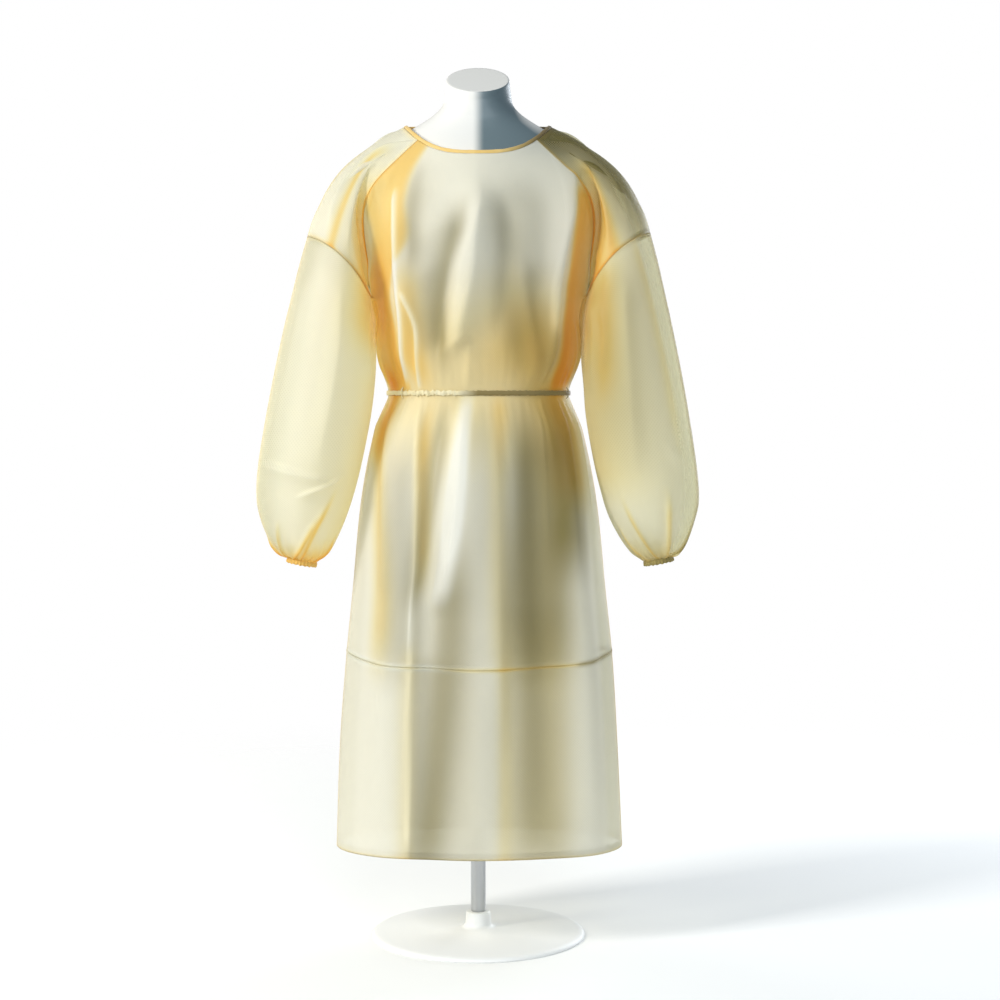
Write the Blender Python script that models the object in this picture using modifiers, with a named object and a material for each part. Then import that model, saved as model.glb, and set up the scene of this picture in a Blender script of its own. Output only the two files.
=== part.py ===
"""Isolation gown worn on a limbless dress form stand. Metres, +Z up, the front faces -Y."""

import math
from collections import namedtuple

import bmesh
import bpy
from mathutils import Vector

# ---------------------------------------------------------------- driving dimensions

CLOTH = 0.0012          # wall of the gown's panels
TAPE = 0.0024           # wall of folded tape: neck binding and cuffs
SEAM_GAP = 0.0003       # space left between two pieces that are sewn together
FLAP_LIFT = 0.0030      # how far the upper back flap lies outside the under flap
UPPER_EDGE_SKIRT = 208.0  # degrees round from centre front to the upper back flap's edge
UPPER_EDGE_NECK = 199.0
UNDER_EDGE_SKIRT = 130.0  # the same for the under back flap's edge
UNDER_EDGE_BODICE = 140.0
UNDER_EDGE_NECK = 161.0

HEM_Z = 0.155           # bottom edge of the gown above the floor
BAND_SEAM_Z = 0.467     # seam of the lower band at centre front
BAND_SEAM_RISE = 0.018  # how much higher that seam is at the sides
BELT_Z = 0.916          # middle of the waist belt
UNDERARM_Z = 1.091      # where side seam and armhole meet
BOXINESS = 0.20         # fullness of the body's sections between front and side
FOLD_FADE = 0.22        # part of a fold's length over which each of its ends fades

NECK_HALF_WIDTH = 0.123
NECK_FRONT_Y = 0.094
NECK_BACK_Y = 0.068
NECK_FRONT_Z = 1.303
NECK_SIDE_Z = 1.356
NECK_BACK_Z = 1.366
BINDING_WIDTH = 0.0060

RAGLAN_NECK_TURN = 38.0  # degrees from the side to where the raglan seam meets the neck
RAGLAN_ROUNDNESS = 0.85  # under 1 keeps the armhole's lower end round
UNDERARM_EASE = 0.0014   # extra room beside the side seam's top, where three pieces meet
ARM_SEAM_GAP = 0.0008    # the sleeve turns at its upper seam, so its walls need more room
ARM_DROP = 0.35          # fall of the shoulder piece for each metre out from the armhole
SHOULDER_FULLNESS = 1.35  # over 1 rounds the shoulder piece between its two seams

CUFF_GAP = 0.0012        # the gathered sleeve swells over the cuff's edge
CUFF_LENGTH = 0.009
CUFF_SWELL = 0.0012
BINDING_GAP = 0.0005

BELT_HEIGHT = 0.0085
BELT_COVER = 0.0060      # the cloth runs straight for this far above and below the belt's middle
BELT_THICKNESS = 0.0020
BELT_CLEARANCE = 0.0006
BELT_END_Z = 0.906
BELT_END_LENGTH = 0.235
BELT_KNOT_DEGREES = 184.0
KNOT_RADII = (0.0110, 0.0070, 0.0085)
KNOT_GAP = 0.0008        # a flat strip's steps can stand this far outside its curve
NECK_TIE_Z = 1.348
NECK_TIE_LENGTH = 0.110
NECK_TIE_WIDTH = 0.007
TIE_CLEARANCE = 0.0050
TIE_WALL = 0.0016
LEFT_LOOP_DEGREES = -54.0
RIGHT_LOOP_DEGREES = 73.0
LOOP_HEIGHT = 0.020
LOOP_WIDTH = 0.003
LOOP_WALL = 0.0008
LOOP_FOOT = 0.0020       # from the cloth's middle to the loop's at its ends
LOOP_STAND = 0.0046      # the same where it passes over the belt

FORM_BOTTOM_Z = 0.700
FORM_BOXINESS = 0.12     # fullness of the torso's sections between front and side
FORM_ROUND_Z = 1.330     # above this the sections turn into the neck's plain ovals
NECK_CUT_START_Z = 1.385  # above this the sections lean with the neck's slanted cut
NECK_CUT_SLOPE = 0.54    # rise towards the back for each metre of depth
FORM_BLEND = 0.05        # height over which each of these two changes comes in
POLE_RADIUS = 0.0125
COLLAR_RADIUS = 0.034
COLLAR_HEIGHT = 0.012
BASE_RADIUS = 0.180
BASE_HEIGHT = 0.012
BASE_SOCKET_HEIGHT = 0.040

# ---------------------------------------------------------------- section tables

# Half sizes of the body's horizontal sections, from the hem to the underarm.
BodySection = namedtuple("BodySection", "z left right front back")
BODY_SECTIONS = [
    BodySection(0.155, 0.2390, 0.2430, 0.128, 0.118),
    BodySection(0.331, 0.2325, 0.2345, 0.124, 0.116),
    BodySection(0.475, 0.2215, 0.2255, 0.120, 0.113),
    BodySection(0.585, 0.2105, 0.2140, 0.117, 0.110),
    BodySection(0.737, 0.1955, 0.1980, 0.113, 0.108),
    BodySection(0.854, 0.1720, 0.1735, 0.104, 0.101),
    BodySection(0.905, 0.1510, 0.1530, 0.095, 0.092),
    BodySection(0.927, 0.1510, 0.1530, 0.095, 0.092),
    BodySection(0.977, 0.1683, 0.1708, 0.107, 0.102),
    BodySection(1.040, 0.1715, 0.1750, 0.116, 0.107),
    BodySection(1.091, 0.1740, 0.1780, 0.121, 0.110),
]

# Folds of the body: a crest line from low to high, as degrees round from centre front.
Fold = namedtuple("Fold", "name low_angle low_z high_angle high_z width height")
BODY_FOLDS = [
    Fold("skirt middle ridge", 1.0, 0.10, -3.0, 0.93, 12.0, 0.013),
    Fold("skirt left trough", -20.0, 0.10, -24.0, 0.90, 7.5, -0.010),
    Fold("skirt left ridge", -39.0, 0.10, -44.0, 0.92, 9.0, 0.006),
    Fold("skirt right trough", 30.0, 0.10, 30.0, 0.93, 10.0, -0.011),
    Fold("skirt right ridge", 52.0, 0.10, 52.0, 0.90, 9.0, 0.008),
    Fold("bodice long ridge", -14.0, 0.96, 1.0, 1.28, 9.0, 0.011),
    Fold("bodice left trough", -26.0, 0.95, -19.0, 1.19, 8.0, -0.007),
    Fold("bodice left ridge", -46.0, 0.93, -43.0, 1.22, 7.0, 0.006),
    Fold("bodice right ridge", 43.0, 0.93, 50.0, 1.26, 9.0, 0.008),
    Fold("back skirt left ridge", 214.0, 0.10, 206.0, 0.90, 11.0, 0.010),
    Fold("back skirt right ridge", 146.0, 0.10, 153.0, 0.90, 12.0, 0.012),
    Fold("back skirt trough", 180.0, 0.10, 178.0, 0.88, 10.0, -0.007),
    Fold("back skirt side ridge", 242.0, 0.10, 236.0, 0.86, 9.0, 0.007),
    Fold("back bodice left ridge", 205.0, 0.94, 214.0, 1.22, 10.0, 0.008),
    Fold("back bodice right ridge", 152.0, 0.94, 146.0, 1.24, 10.0, 0.008),
    Fold("back bodice trough", 178.0, 0.95, 180.0, 1.16, 9.0, -0.005),
]

# Sections of a sleeve from the upper-arm seam to the wrist: outer and inner edge seen from
# the front, half depth, how far the section sits in front of the body's middle, and how far
# its front and back are bowed up the arm.
SleeveSection = namedtuple(
    "SleeveSection", "outer_x outer_z inner_x inner_z half_depth forward bow"
)
RIGHT_SLEEVE = [
    SleeveSection(0.2849, 1.1798, 0.1800, 1.0777, 0.078, 0.028, 0.016),
    SleeveSection(0.2961, 1.1326, 0.1732, 1.0485, 0.080, 0.042, 0.011),
    SleeveSection(0.3073, 1.0827, 0.1707, 1.0127, 0.081, 0.046, 0.006),
    SleeveSection(0.3210, 1.0205, 0.1703, 0.9752, 0.081, 0.048, 0.002),
    SleeveSection(0.3359, 0.9495, 0.1745, 0.9298, 0.080, 0.046, 0.000),
    SleeveSection(0.3500, 0.8726, 0.1790, 0.8765, 0.078, 0.043, 0.000),
    SleeveSection(0.3628, 0.7914, 0.1913, 0.8072, 0.077, 0.038, 0.000),
    SleeveSection(0.3667, 0.7388, 0.2033, 0.7576, 0.073, 0.034, 0.000),
    SleeveSection(0.3600, 0.7039, 0.2164, 0.7168, 0.066, 0.031, 0.000),
    SleeveSection(0.3494, 0.6750, 0.2354, 0.6819, 0.053, 0.028, 0.000),
    SleeveSection(0.3367, 0.6560, 0.2553, 0.6560, 0.037, 0.026, 0.000),
    SleeveSection(0.3239, 0.6470, 0.2762, 0.6380, 0.023, 0.025, 0.000),
]
LEFT_SLEEVE = [
    SleeveSection(0.2810, 1.1739, 0.1760, 1.0757, 0.078, 0.028, 0.016),
    SleeveSection(0.2935, 1.1247, 0.1694, 1.0465, 0.080, 0.042, 0.011),
    SleeveSection(0.3060, 1.0738, 0.1680, 1.0117, 0.081, 0.046, 0.006),
    SleeveSection(0.3195, 1.0185, 0.1672, 0.9732, 0.081, 0.048, 0.002),
    SleeveSection(0.3345, 0.9515, 0.1700, 0.9298, 0.080, 0.046, 0.000),
    SleeveSection(0.3500, 0.8745, 0.1770, 0.8765, 0.078, 0.043, 0.000),
    SleeveSection(0.3635, 0.7963, 0.1914, 0.8052, 0.077, 0.038, 0.000),
    SleeveSection(0.3669, 0.7437, 0.2046, 0.7536, 0.073, 0.034, 0.000),
    SleeveSection(0.3604, 0.7059, 0.2197, 0.7089, 0.066, 0.031, 0.000),
    SleeveSection(0.3468, 0.6740, 0.2357, 0.6740, 0.053, 0.028, 0.000),
    SleeveSection(0.3312, 0.6540, 0.2508, 0.6500, 0.037, 0.026, 0.000),
    SleeveSection(0.3164, 0.6450, 0.2687, 0.6361, 0.023, 0.025, 0.000),
]

# Half sizes of the dress form's sections, from its underside to the neck.
FormSection = namedtuple("FormSection", "z side front back")
FORM_SECTIONS = [
    FormSection(0.700, 0.105, 0.070, 0.074),
    FormSection(0.707, 0.128, 0.086, 0.090),
    FormSection(0.730, 0.146, 0.094, 0.099),
    FormSection(0.775, 0.150, 0.094, 0.100),
    FormSection(0.835, 0.138, 0.086, 0.091),
    FormSection(0.916, 0.113, 0.074, 0.074),
    FormSection(0.975, 0.119, 0.080, 0.080),
    FormSection(1.050, 0.133, 0.096, 0.089),
    FormSection(1.110, 0.141, 0.103, 0.094),
    FormSection(1.165, 0.147, 0.103, 0.098),
    FormSection(1.215, 0.162, 0.097, 0.100),
    FormSection(1.258, 0.172, 0.088, 0.095),
    FormSection(1.288, 0.171, 0.079, 0.090),
    FormSection(1.312, 0.158, 0.070, 0.082),
    FormSection(1.332, 0.140, 0.061, 0.073),
    FormSection(1.347, 0.119, 0.055, 0.065),
    FormSection(1.358, 0.101, 0.052, 0.059),
    FormSection(1.368, 0.085, 0.050, 0.055),
    FormSection(1.379, 0.070, 0.050, 0.054),
    FormSection(1.392, 0.059, 0.049, 0.052),
    FormSection(1.410, 0.055, 0.049, 0.051),
    FormSection(1.435, 0.052, 0.050, 0.052),
]

# ---------------------------------------------------------------- mesh divisions

BAND_ROWS = 4
SKIRT_ROWS = 6
OVERLAP_COLUMNS = 7
WAIST_ROWS = 4
ARMHOLE_ROWS = 8
NECK_COLUMNS = 6
SHOULDER_ROWS = 6
CUFF_ROWS = 2
TIE_ROWS = 7
SLEEVE_COLUMNS = 2 * ARMHOLE_ROWS + NECK_COLUMNS
FORM_COLUMNS = 32

# ---------------------------------------------------------------- curves and tables


def smoothstep(value):
    """0 below 0, 1 above 1, and smooth between."""
    value = min(max(value, 0.0), 1.0)
    return value * value * (3.0 - 2.0 * value)


def lerp(start, end, part):
    return start + (end - start) * part


def hermite(start, leave, end, arrive, part):
    """Point on a smooth curve between two points with a given direction at each."""
    square = part * part
    cube = square * part
    return (
        start * (2 * cube - 3 * square + 1)
        + leave * (cube - 2 * square + part)
        + end * (3 * square - 2 * cube)
        + arrive * (cube - square)
    )


def table_row(rows, place, spot):
    """Row of a table at a place along it, with every column following a smooth curve."""
    last = len(rows) - 1
    k = 0
    while k < last - 1 and spot > place(rows[k + 1]):
        k += 1
    low, high = rows[k], rows[k + 1]
    span = place(high) - place(low)
    part = (spot - place(low)) / span
    before = rows[max(k - 1, 0)]
    after = rows[min(k + 2, last)]
    values = []
    for column in range(len(low)):
        leave = (high[column] - before[column]) / (place(high) - place(before)) * span
        arrive = (after[column] - low[column]) / (place(after) - place(low)) * span
        values.append(hermite(low[column], leave, high[column], arrive, part))
    return type(low)(*values)


def section_point(half_width, half_depth, angle, z):
    """Point of a body section, at an angle from centre front, positive towards +X."""
    side, ahead = math.sin(angle), math.cos(angle)
    fullness = 1.0 + BOXINESS * side * side
    return Vector((half_width * side, -half_depth * ahead * fullness, z))


# ---------------------------------------------------------------- the gown's body


def fold_height(angle, z):
    """How far the folds move the body's cloth outwards."""
    degrees = math.degrees(angle)
    total = 0.0
    for fold in BODY_FOLDS:
        along = (z - fold.low_z) / (fold.high_z - fold.low_z)
        if not 0.0 < along < 1.0:
            continue
        crest = lerp(fold.low_angle, fold.high_angle, along)
        away = (degrees - crest + 180.0) % 360.0 - 180.0
        fade = smoothstep(min(along, 1.0 - along) / FOLD_FADE)
        total += fold.height * fade * math.exp(-((away / fold.width) ** 2))
    return total


def neckline_point(angle):
    """Point of the neck's edge at an angle from centre front."""
    side, ahead = math.sin(angle), math.cos(angle)
    if ahead >= 0.0:
        z = lerp(NECK_FRONT_Z, NECK_SIDE_Z, abs(side) ** 3)
        return Vector((NECK_HALF_WIDTH * side, -NECK_FRONT_Y * ahead, z))
    z = lerp(NECK_BACK_Z, NECK_SIDE_Z, side * side)
    return Vector((NECK_HALF_WIDTH * side, -NECK_BACK_Y * ahead, z))


def neckline_direction(angle):
    """Direction in which the cloth runs up to the neck's edge."""
    side, ahead = math.sin(angle), math.cos(angle)
    middle = Vector((0.0, 0.10, 0.20)) if ahead >= 0.0 else Vector((0.0, -0.17, 0.16))
    shoulder = Vector((-0.35 * side, 0.0, 0.16))
    return shoulder * abs(side) + middle * (ahead * ahead)


def body_point(angle, height):
    """Point of the body's cloth. Above the underarm, height runs on to 1 m more at the neck."""
    if height <= UNDERARM_Z:
        row = table_row(BODY_SECTIONS, lambda section: section.z, height)
        half_width = row.right if math.sin(angle) >= 0.0 else row.left
        half_depth = row.front if math.cos(angle) >= 0.0 else row.back
        point = section_point(half_width, half_depth, angle, height)
    else:
        top = BODY_SECTIONS[-1]
        half_width = top.right if math.sin(angle) >= 0.0 else top.left
        half_depth = top.front if math.cos(angle) >= 0.0 else top.back
        start = section_point(half_width, half_depth, angle, UNDERARM_Z)
        side, ahead = math.sin(angle), math.cos(angle)
        spread = Vector((0.10 * side, -0.04 * ahead, lerp(0.24, 0.50, side * side)))
        end = neckline_point(angle)
        arrive = neckline_direction(angle)
        point = hermite(start, spread, end, arrive, height - UNDERARM_Z)
    outward = Vector((math.sin(angle), -math.cos(angle), 0.0))
    return point + outward * fold_height(angle, point.z)


def raglan_angle(part):
    """Degrees from the side to the raglan seam, from 0 at the underarm to the neck."""
    return RAGLAN_NECK_TURN * math.sin(part * math.pi / 2) ** RAGLAN_ROUNDNESS


def seam_height(angle):
    """Height of the lower band's seam."""
    return BAND_SEAM_Z + BAND_SEAM_RISE * math.sin(angle) ** 4


def even_rows(start, end, count):
    return [lerp(start, end, k / count) for k in range(1, count + 1)]


def skirt_rows(angle):
    """Heights of a panel's rows from the band seam up to the cut under the belt, at one angle."""
    low = seam_height(angle) + SEAM_GAP / 2
    rows = [low] + even_rows(low, BELT_Z - BELT_COVER, SKIRT_ROWS)
    return rows + [BELT_Z - SEAM_GAP / 2]


def bodice_rows():
    """Heights of a panel's rows from the cut under the belt up to the neck."""
    rows = [BELT_Z + SEAM_GAP / 2, BELT_Z + BELT_COVER]
    rows += even_rows(BELT_Z + BELT_COVER, UNDERARM_Z, WAIST_ROWS)
    return rows + [UNDERARM_Z + k / ARMHOLE_ROWS for k in range(1, ARMHOLE_ROWS + 1)]


def band_rows(angle):
    top = seam_height(angle) - SEAM_GAP / 2
    return [HEM_Z] + even_rows(HEM_Z, top, BAND_ROWS)


def over_underarm(height):
    """0 below the underarm, then up to 1 at the neck."""
    return max(height - UNDERARM_Z, 0.0)


def upper_edge_angle(height):
    """Degrees round to the free edge of the upper back flap."""
    return lerp(UPPER_EDGE_SKIRT, UPPER_EDGE_NECK, smoothstep(over_underarm(height)))


def under_edge_angle(height):
    """Degrees round to the free edge of the under back flap."""
    bodice = smoothstep((height - BELT_Z) / 0.2)
    below = lerp(UNDER_EDGE_SKIRT, UNDER_EDGE_BODICE, bodice)
    return below + (UNDER_EDGE_NECK - UNDER_EDGE_BODICE) * smoothstep(over_underarm(height))


def flap_lift(degrees, height):
    """The upper flap moves out before it reaches the under flap's edge."""
    return FLAP_LIFT * smoothstep((degrees - under_edge_angle(height) + 24.0) / 20.0)


def radial(angle):
    return Vector((math.sin(angle), -math.cos(angle), 0.0))


SEAM_TURN = math.degrees(SEAM_GAP / 2 / 0.17)  # half the seam gap, as degrees at the side

# Panels of the body, each cut in two under the belt, where the cut is hidden. Stops give the
# degrees round at each height, and columns how many columns lie between one stop and the next.
# Both back flaps have the same columns where they overlap.
Panel = namedtuple("Panel", "bodice skirt band stops columns upper_flap")
FRONT = Panel(
    "front_bodice",
    "front_skirt",
    "front_band",
    (
        lambda height: -90.0 + raglan_angle(over_underarm(height)) + SEAM_TURN,
        lambda height: 90.0 - raglan_angle(over_underarm(height)) - SEAM_TURN,
    ),
    (18,),
    False,
)
BACK_RIGHT = Panel(
    "back_bodice_right",
    "back_skirt_right",
    "back_band_right",
    (
        lambda height: 90.0 + raglan_angle(over_underarm(height)) + SEAM_TURN,
        under_edge_angle,
        upper_edge_angle,
    ),
    (4, OVERLAP_COLUMNS),
    True,
)
BACK_LEFT = Panel(
    "back_bodice_left",
    "back_skirt_left",
    "back_band_left",
    (
        under_edge_angle,
        upper_edge_angle,
        lambda height: 270.0 - raglan_angle(over_underarm(height)) - SEAM_TURN,
    ),
    (OVERLAP_COLUMNS, 5),
    False,
)


def panel_degrees(panel, column, height):
    """Degrees round from centre front of a panel's column at a height."""
    for k, count in enumerate(panel.columns):
        if column <= count:
            break
        column -= count
    start, end = panel.stops[k](height), panel.stops[k + 1](height)
    return lerp(start, end, column / count)


def panel_point(panel, column, height):
    degrees = panel_degrees(panel, column, height)
    angle = math.radians(degrees)
    lift = flap_lift(degrees, height) if panel.upper_flap else 0.0
    return body_point(angle, height) + radial(angle) * lift


def panel_steps(panel, height):
    """Degrees of all of a panel's columns at a height."""
    return [panel_degrees(panel, k, height) for k in range(sum(panel.columns) + 1)]


# ---------------------------------------------------------------- shoulders and sleeves


def sleeve_point(row, side, turn):
    """Point of a sleeve section. Turn runs from 0 at the inner edge, over the front, to 1."""
    outer = Vector((row.outer_x * side, -row.forward, row.outer_z))
    inner = Vector((row.inner_x * side, -row.forward, row.inner_z))
    around = turn * 2 * math.pi
    across = (outer - inner) / 2
    upward = Vector((-across.z * side, 0.0, across.x * side)).normalized()
    bow = upward * (row.bow * math.sin(around) ** 2)
    depth = Vector((0.0, row.half_depth, 0.0))
    return (outer + inner) / 2 + bow - across * math.cos(around) - depth * math.sin(around)


def sleeve_direction(rows, side, turn):
    """Unit vector down the sleeve from its upper seam."""
    step = sleeve_point(rows[1], side, turn) - sleeve_point(rows[0], side, turn)
    return step.normalized()


def armhole_place(k):
    """Degrees from centre front and height of the armhole and side neck, at step k round it."""
    if k <= ARMHOLE_ROWS:
        part = k / ARMHOLE_ROWS
        return 90.0 - raglan_angle(part), UNDERARM_Z + part
    if k >= ARMHOLE_ROWS + NECK_COLUMNS:
        part = (SLEEVE_COLUMNS - k) / ARMHOLE_ROWS
        return 90.0 + raglan_angle(part), UNDERARM_Z + part
    turn = lerp(-RAGLAN_NECK_TURN, RAGLAN_NECK_TURN, (k - ARMHOLE_ROWS) / NECK_COLUMNS)
    return 90.0 + turn, UNDERARM_Z + 1.0


def body_normal(degrees, height):
    """Unit vector out of the body's cloth."""
    step = 0.01
    around = body_point(math.radians(degrees + 1.0), height)
    around -= body_point(math.radians(degrees - 1.0), height)
    up = body_point(math.radians(degrees), height + step)
    up -= body_point(math.radians(degrees), height - step)
    return around.cross(up).normalized()


def armhole_point(k, side):
    degrees, height = armhole_place(k)
    return body_point(math.radians(degrees * side), height)


def armhole_outward(k, side):
    """Direction in which the shoulder piece leaves the armhole or the neck."""
    degrees, height = armhole_place(k)
    after = armhole_point(min(k + 1, SLEEVE_COLUMNS), side)
    before = armhole_point(max(k - 1, 0), side)
    outward = Vector((side, 0.0, -ARM_DROP)).normalized()
    across = (after - before).cross(body_normal(degrees * side, height)).normalized()
    if across.dot(outward) < 0.0:
        across.negate()
    climb = smoothstep((height - UNDERARM_Z) * 1.6)
    return (outward * (1.0 - climb) + across * climb).normalized()


def shoulder_point(rows, side, k, part):
    """Point of a shoulder piece, from the armhole (part 0) to the upper-arm seam (part 1)."""
    height = armhole_place(k)[1]
    leave = armhole_outward(k, side)
    near_underarm = 1.0 - smoothstep((height - UNDERARM_Z) / 0.4)
    start = armhole_point(k, side) + leave * (SEAM_GAP / 2 + UNDERARM_EASE * near_underarm)
    turn = k / SLEEVE_COLUMNS
    arrive = sleeve_direction(rows, side, turn)
    end = sleeve_point(rows[0], side, turn) - arrive * (ARM_SEAM_GAP / 2)
    reach = SHOULDER_FULLNESS * (end - start).length
    return hermite(start, leave * reach, end, arrive * reach, part)


def sleeve_row_point(rows, side, k, turn):
    """Point of a sleeve's row k. The first row starts just past the upper-arm seam."""
    point = sleeve_point(rows[k], side, turn)
    if k == 0:
        point += sleeve_direction(rows, side, turn) * (ARM_SEAM_GAP / 2)
    return point


def cuff_axis(row, side):
    """Unit vector out of the wrist opening."""
    across = Vector((row.outer_x - row.inner_x, 0.0, row.outer_z - row.inner_z))
    return Vector((across.z * side, 0.0, -across.x)).normalized()


# ---------------------------------------------------------------- mesh helpers


def material(name, colour, roughness, metallic=0.0):
    """Principled material with an sRGB hex colour."""
    made = bpy.data.materials.new(name)
    made.use_nodes = True
    shader = made.node_tree.nodes["Principled BSDF"]
    channels = [int(colour[k : k + 2], 16) / 255 for k in (1, 3, 5)]
    linear = [c / 12.92 if c <= 0.04045 else ((c + 0.055) / 1.055) ** 2.4 for c in channels]
    shader.inputs["Base Color"].default_value = (*linear, 1.0)
    shader.inputs["Roughness"].default_value = roughness
    shader.inputs["Metallic"].default_value = metallic
    return made


def add_object(name, bm, finish):
    """Object of the model's collection, made from a bmesh."""
    mesh = bpy.data.meshes.new(name)
    bm.to_mesh(mesh)
    bm.free()
    mesh.materials.append(finish)
    mesh.shade_smooth()
    made = bpy.data.objects.new(name, mesh)
    PARTS.objects.link(made)
    return made


def turn_outward(bm):
    """Turn an open sheet's faces away from its own middle."""
    middle = sum((vert.co for vert in bm.verts), Vector()) / len(bm.verts)
    facing = sum(
        face.calc_area() * (face.calc_center_median() - middle).dot(face.normal)
        for face in bm.faces
    )
    if facing < 0.0:
        bmesh.ops.reverse_faces(bm, faces=bm.faces)


def add_sheet(name, columns, rows, place, wall, finish, closed=False):
    """Sheet with a wall. Place gives the point at a column and a row."""
    bm = bmesh.new()
    bmesh.ops.create_grid(bm, x_segments=columns, y_segments=rows, size=0.5)
    for vert in bm.verts:
        column = round((vert.co.x + 0.5) * columns)
        row = round((vert.co.y + 0.5) * rows)
        vert.co = place(column, row)
    if closed:
        bmesh.ops.remove_doubles(bm, verts=bm.verts, dist=0.00002)
    bm.normal_update()
    turn_outward(bm)
    made = add_object(name, bm, finish)
    solid = made.modifiers.new("wall", "SOLIDIFY")
    solid.thickness = wall
    solid.offset = 0.0
    return made


def add_knot(name, surface, normal, finish):
    """Knot that lies just clear of a surface, on the side that the normal points to."""
    reach = Vector(r * n for r, n in zip(KNOT_RADII, normal)).length
    bm = bmesh.new()
    bmesh.ops.create_uvsphere(bm, u_segments=12, v_segments=8, radius=1.0)
    bmesh.ops.scale(bm, vec=KNOT_RADII, verts=bm.verts)
    bmesh.ops.translate(bm, vec=surface + normal * (reach + KNOT_GAP), verts=bm.verts)
    return add_object(name, bm, finish)


def add_cylinder(name, radius, low, high, finish):
    bm = bmesh.new()
    bmesh.ops.create_cone(
        bm, cap_ends=True, segments=32, radius1=radius, radius2=radius, depth=high - low
    )
    bmesh.ops.translate(bm, vec=(0.0, 0.0, (low + high) / 2), verts=bm.verts)
    return add_object(name, bm, finish)


# ---------------------------------------------------------------- the gown's pieces


def build_panel(panel, finish):
    """One side of the body: its band, and its panel below and above the belt."""

    def angle_of(column):
        return math.radians(panel_degrees(panel, column, HEM_Z))

    def band(column, row):
        return panel_point(panel, column, band_rows(angle_of(column))[row])

    def skirt(column, row):
        return panel_point(panel, column, skirt_rows(angle_of(column))[row])

    def bodice(column, row):
        return panel_point(panel, column, bodice_rows()[row])

    columns = sum(panel.columns)
    add_sheet(panel.band, columns, BAND_ROWS, band, CLOTH, finish)
    add_sheet(panel.skirt, columns, SKIRT_ROWS + 1, skirt, CLOTH, finish)
    add_sheet(panel.bodice, columns, len(bodice_rows()) - 1, bodice, CLOTH, finish)


def build_arm(side, word, rows, cloth, trim):
    """Shoulder piece, sleeve and cuff of one side."""

    def shoulder(column, row):
        return shoulder_point(rows, side, column, row / SHOULDER_ROWS)

    def sleeve(column, row):
        return sleeve_row_point(rows, side, row, column / SLEEVE_COLUMNS)

    def cuff(column, row):
        down = lerp(CUFF_GAP, CUFF_GAP + CUFF_LENGTH, row / CUFF_ROWS)
        swell = CUFF_SWELL * math.sin(math.pi * row / CUFF_ROWS)
        point = sleeve_point(rows[-1], side, column / SLEEVE_COLUMNS)
        middle = (sleeve_point(rows[-1], side, 0.0) + sleeve_point(rows[-1], side, 0.5)) / 2
        return point + (point - middle).normalized() * swell + cuff_axis(rows[-1], side) * down

    columns = SLEEVE_COLUMNS
    add_sheet(f"shoulder_{word}", columns, SHOULDER_ROWS, shoulder, CLOTH, cloth)
    add_sheet(f"sleeve_{word}", columns, len(rows) - 1, sleeve, CLOTH, cloth, closed=True)
    add_sheet(f"cuff_{word}", columns, CUFF_ROWS, cuff, TAPE, trim, closed=True)


def neck_steps():
    """Degrees of the neck binding's steps, from the under flap's edge round to the upper's."""
    top = UNDERARM_Z + 1.0
    shoulder = [lerp(-RAGLAN_NECK_TURN, RAGLAN_NECK_TURN, k / NECK_COLUMNS) for k in range(1, 6)]
    steps = [degrees - 360.0 for degrees in panel_steps(BACK_LEFT, top)]
    steps += [degrees - 90.0 for degrees in shoulder]
    steps += panel_steps(FRONT, top)
    steps += [degrees + 90.0 for degrees in shoulder]
    return steps + panel_steps(BACK_RIGHT, top)


def neck_point(degrees, rise):
    """Point above the neck's edge, on the line that the cloth runs up."""
    angle = math.radians(degrees)
    edge = body_point(angle, UNDERARM_Z + 1.0)
    lift = flap_lift(degrees, UNDERARM_Z + 1.0) if degrees > 0.0 else 0.0
    return edge + radial(angle) * lift + neckline_direction(angle).normalized() * rise


def build_neck(trim):
    """Binding, and the tie that closes it behind the neck."""
    steps = neck_steps()

    def binding(column, row):
        return neck_point(steps[column], lerp(BINDING_GAP, BINDING_WIDTH, row))

    add_sheet("neck_binding", len(steps) - 1, 1, binding, TAPE, trim)
    degrees = steps[-1] - 4.0
    normal = body_normal(degrees, UNDERARM_Z + 0.98)
    surface = neck_point(degrees, BINDING_WIDTH / 2) + normal * (TAPE / 2)
    add_knot("neck_knot", surface, normal, trim)
    for name, first, last in (("neck_tie_under", 0.0, 11.0), ("neck_tie_upper", -3.0, -13.0)):
        build_tie(name, degrees, first, last, NECK_TIE_Z, NECK_TIE_LENGTH, NECK_TIE_WIDTH, trim)


def build_tie(name, degrees, first, last, top, length, width, trim):
    """Free end of a tie, hanging over the back from below its knot."""

    def place(column, row):
        part = row / TIE_ROWS
        z = top - length * part
        turn = math.radians(degrees + lerp(first, last, part))
        out = radial(turn)
        across = Vector((out.y, -out.x, 0.0)) * width * (column - 0.5)
        return back_surface(turn, z) + out * TIE_CLEARANCE + across

    add_sheet(name, 1, TIE_ROWS, place, TIE_WALL, trim)


def back_surface(angle, z):
    """Point of the back's upper flap at a height above the floor."""
    low, high = UNDERARM_Z, UNDERARM_Z + 1.0
    if z <= UNDERARM_Z:
        return body_point(angle, z) + radial(angle) * FLAP_LIFT
    for _ in range(24):
        middle = (low + high) / 2
        if body_point(angle, middle).z < z:
            low = middle
        else:
            high = middle
    return body_point(angle, low) + radial(angle) * FLAP_LIFT


def belt_steps():
    """Degrees of the belt's steps: those of the panels that it lies on."""
    steps = panel_steps(FRONT, BELT_Z) + panel_steps(BACK_RIGHT, BELT_Z)[1:]
    return steps + panel_steps(BACK_LEFT, BELT_Z)[OVERLAP_COLUMNS + 1 : -1]


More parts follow.
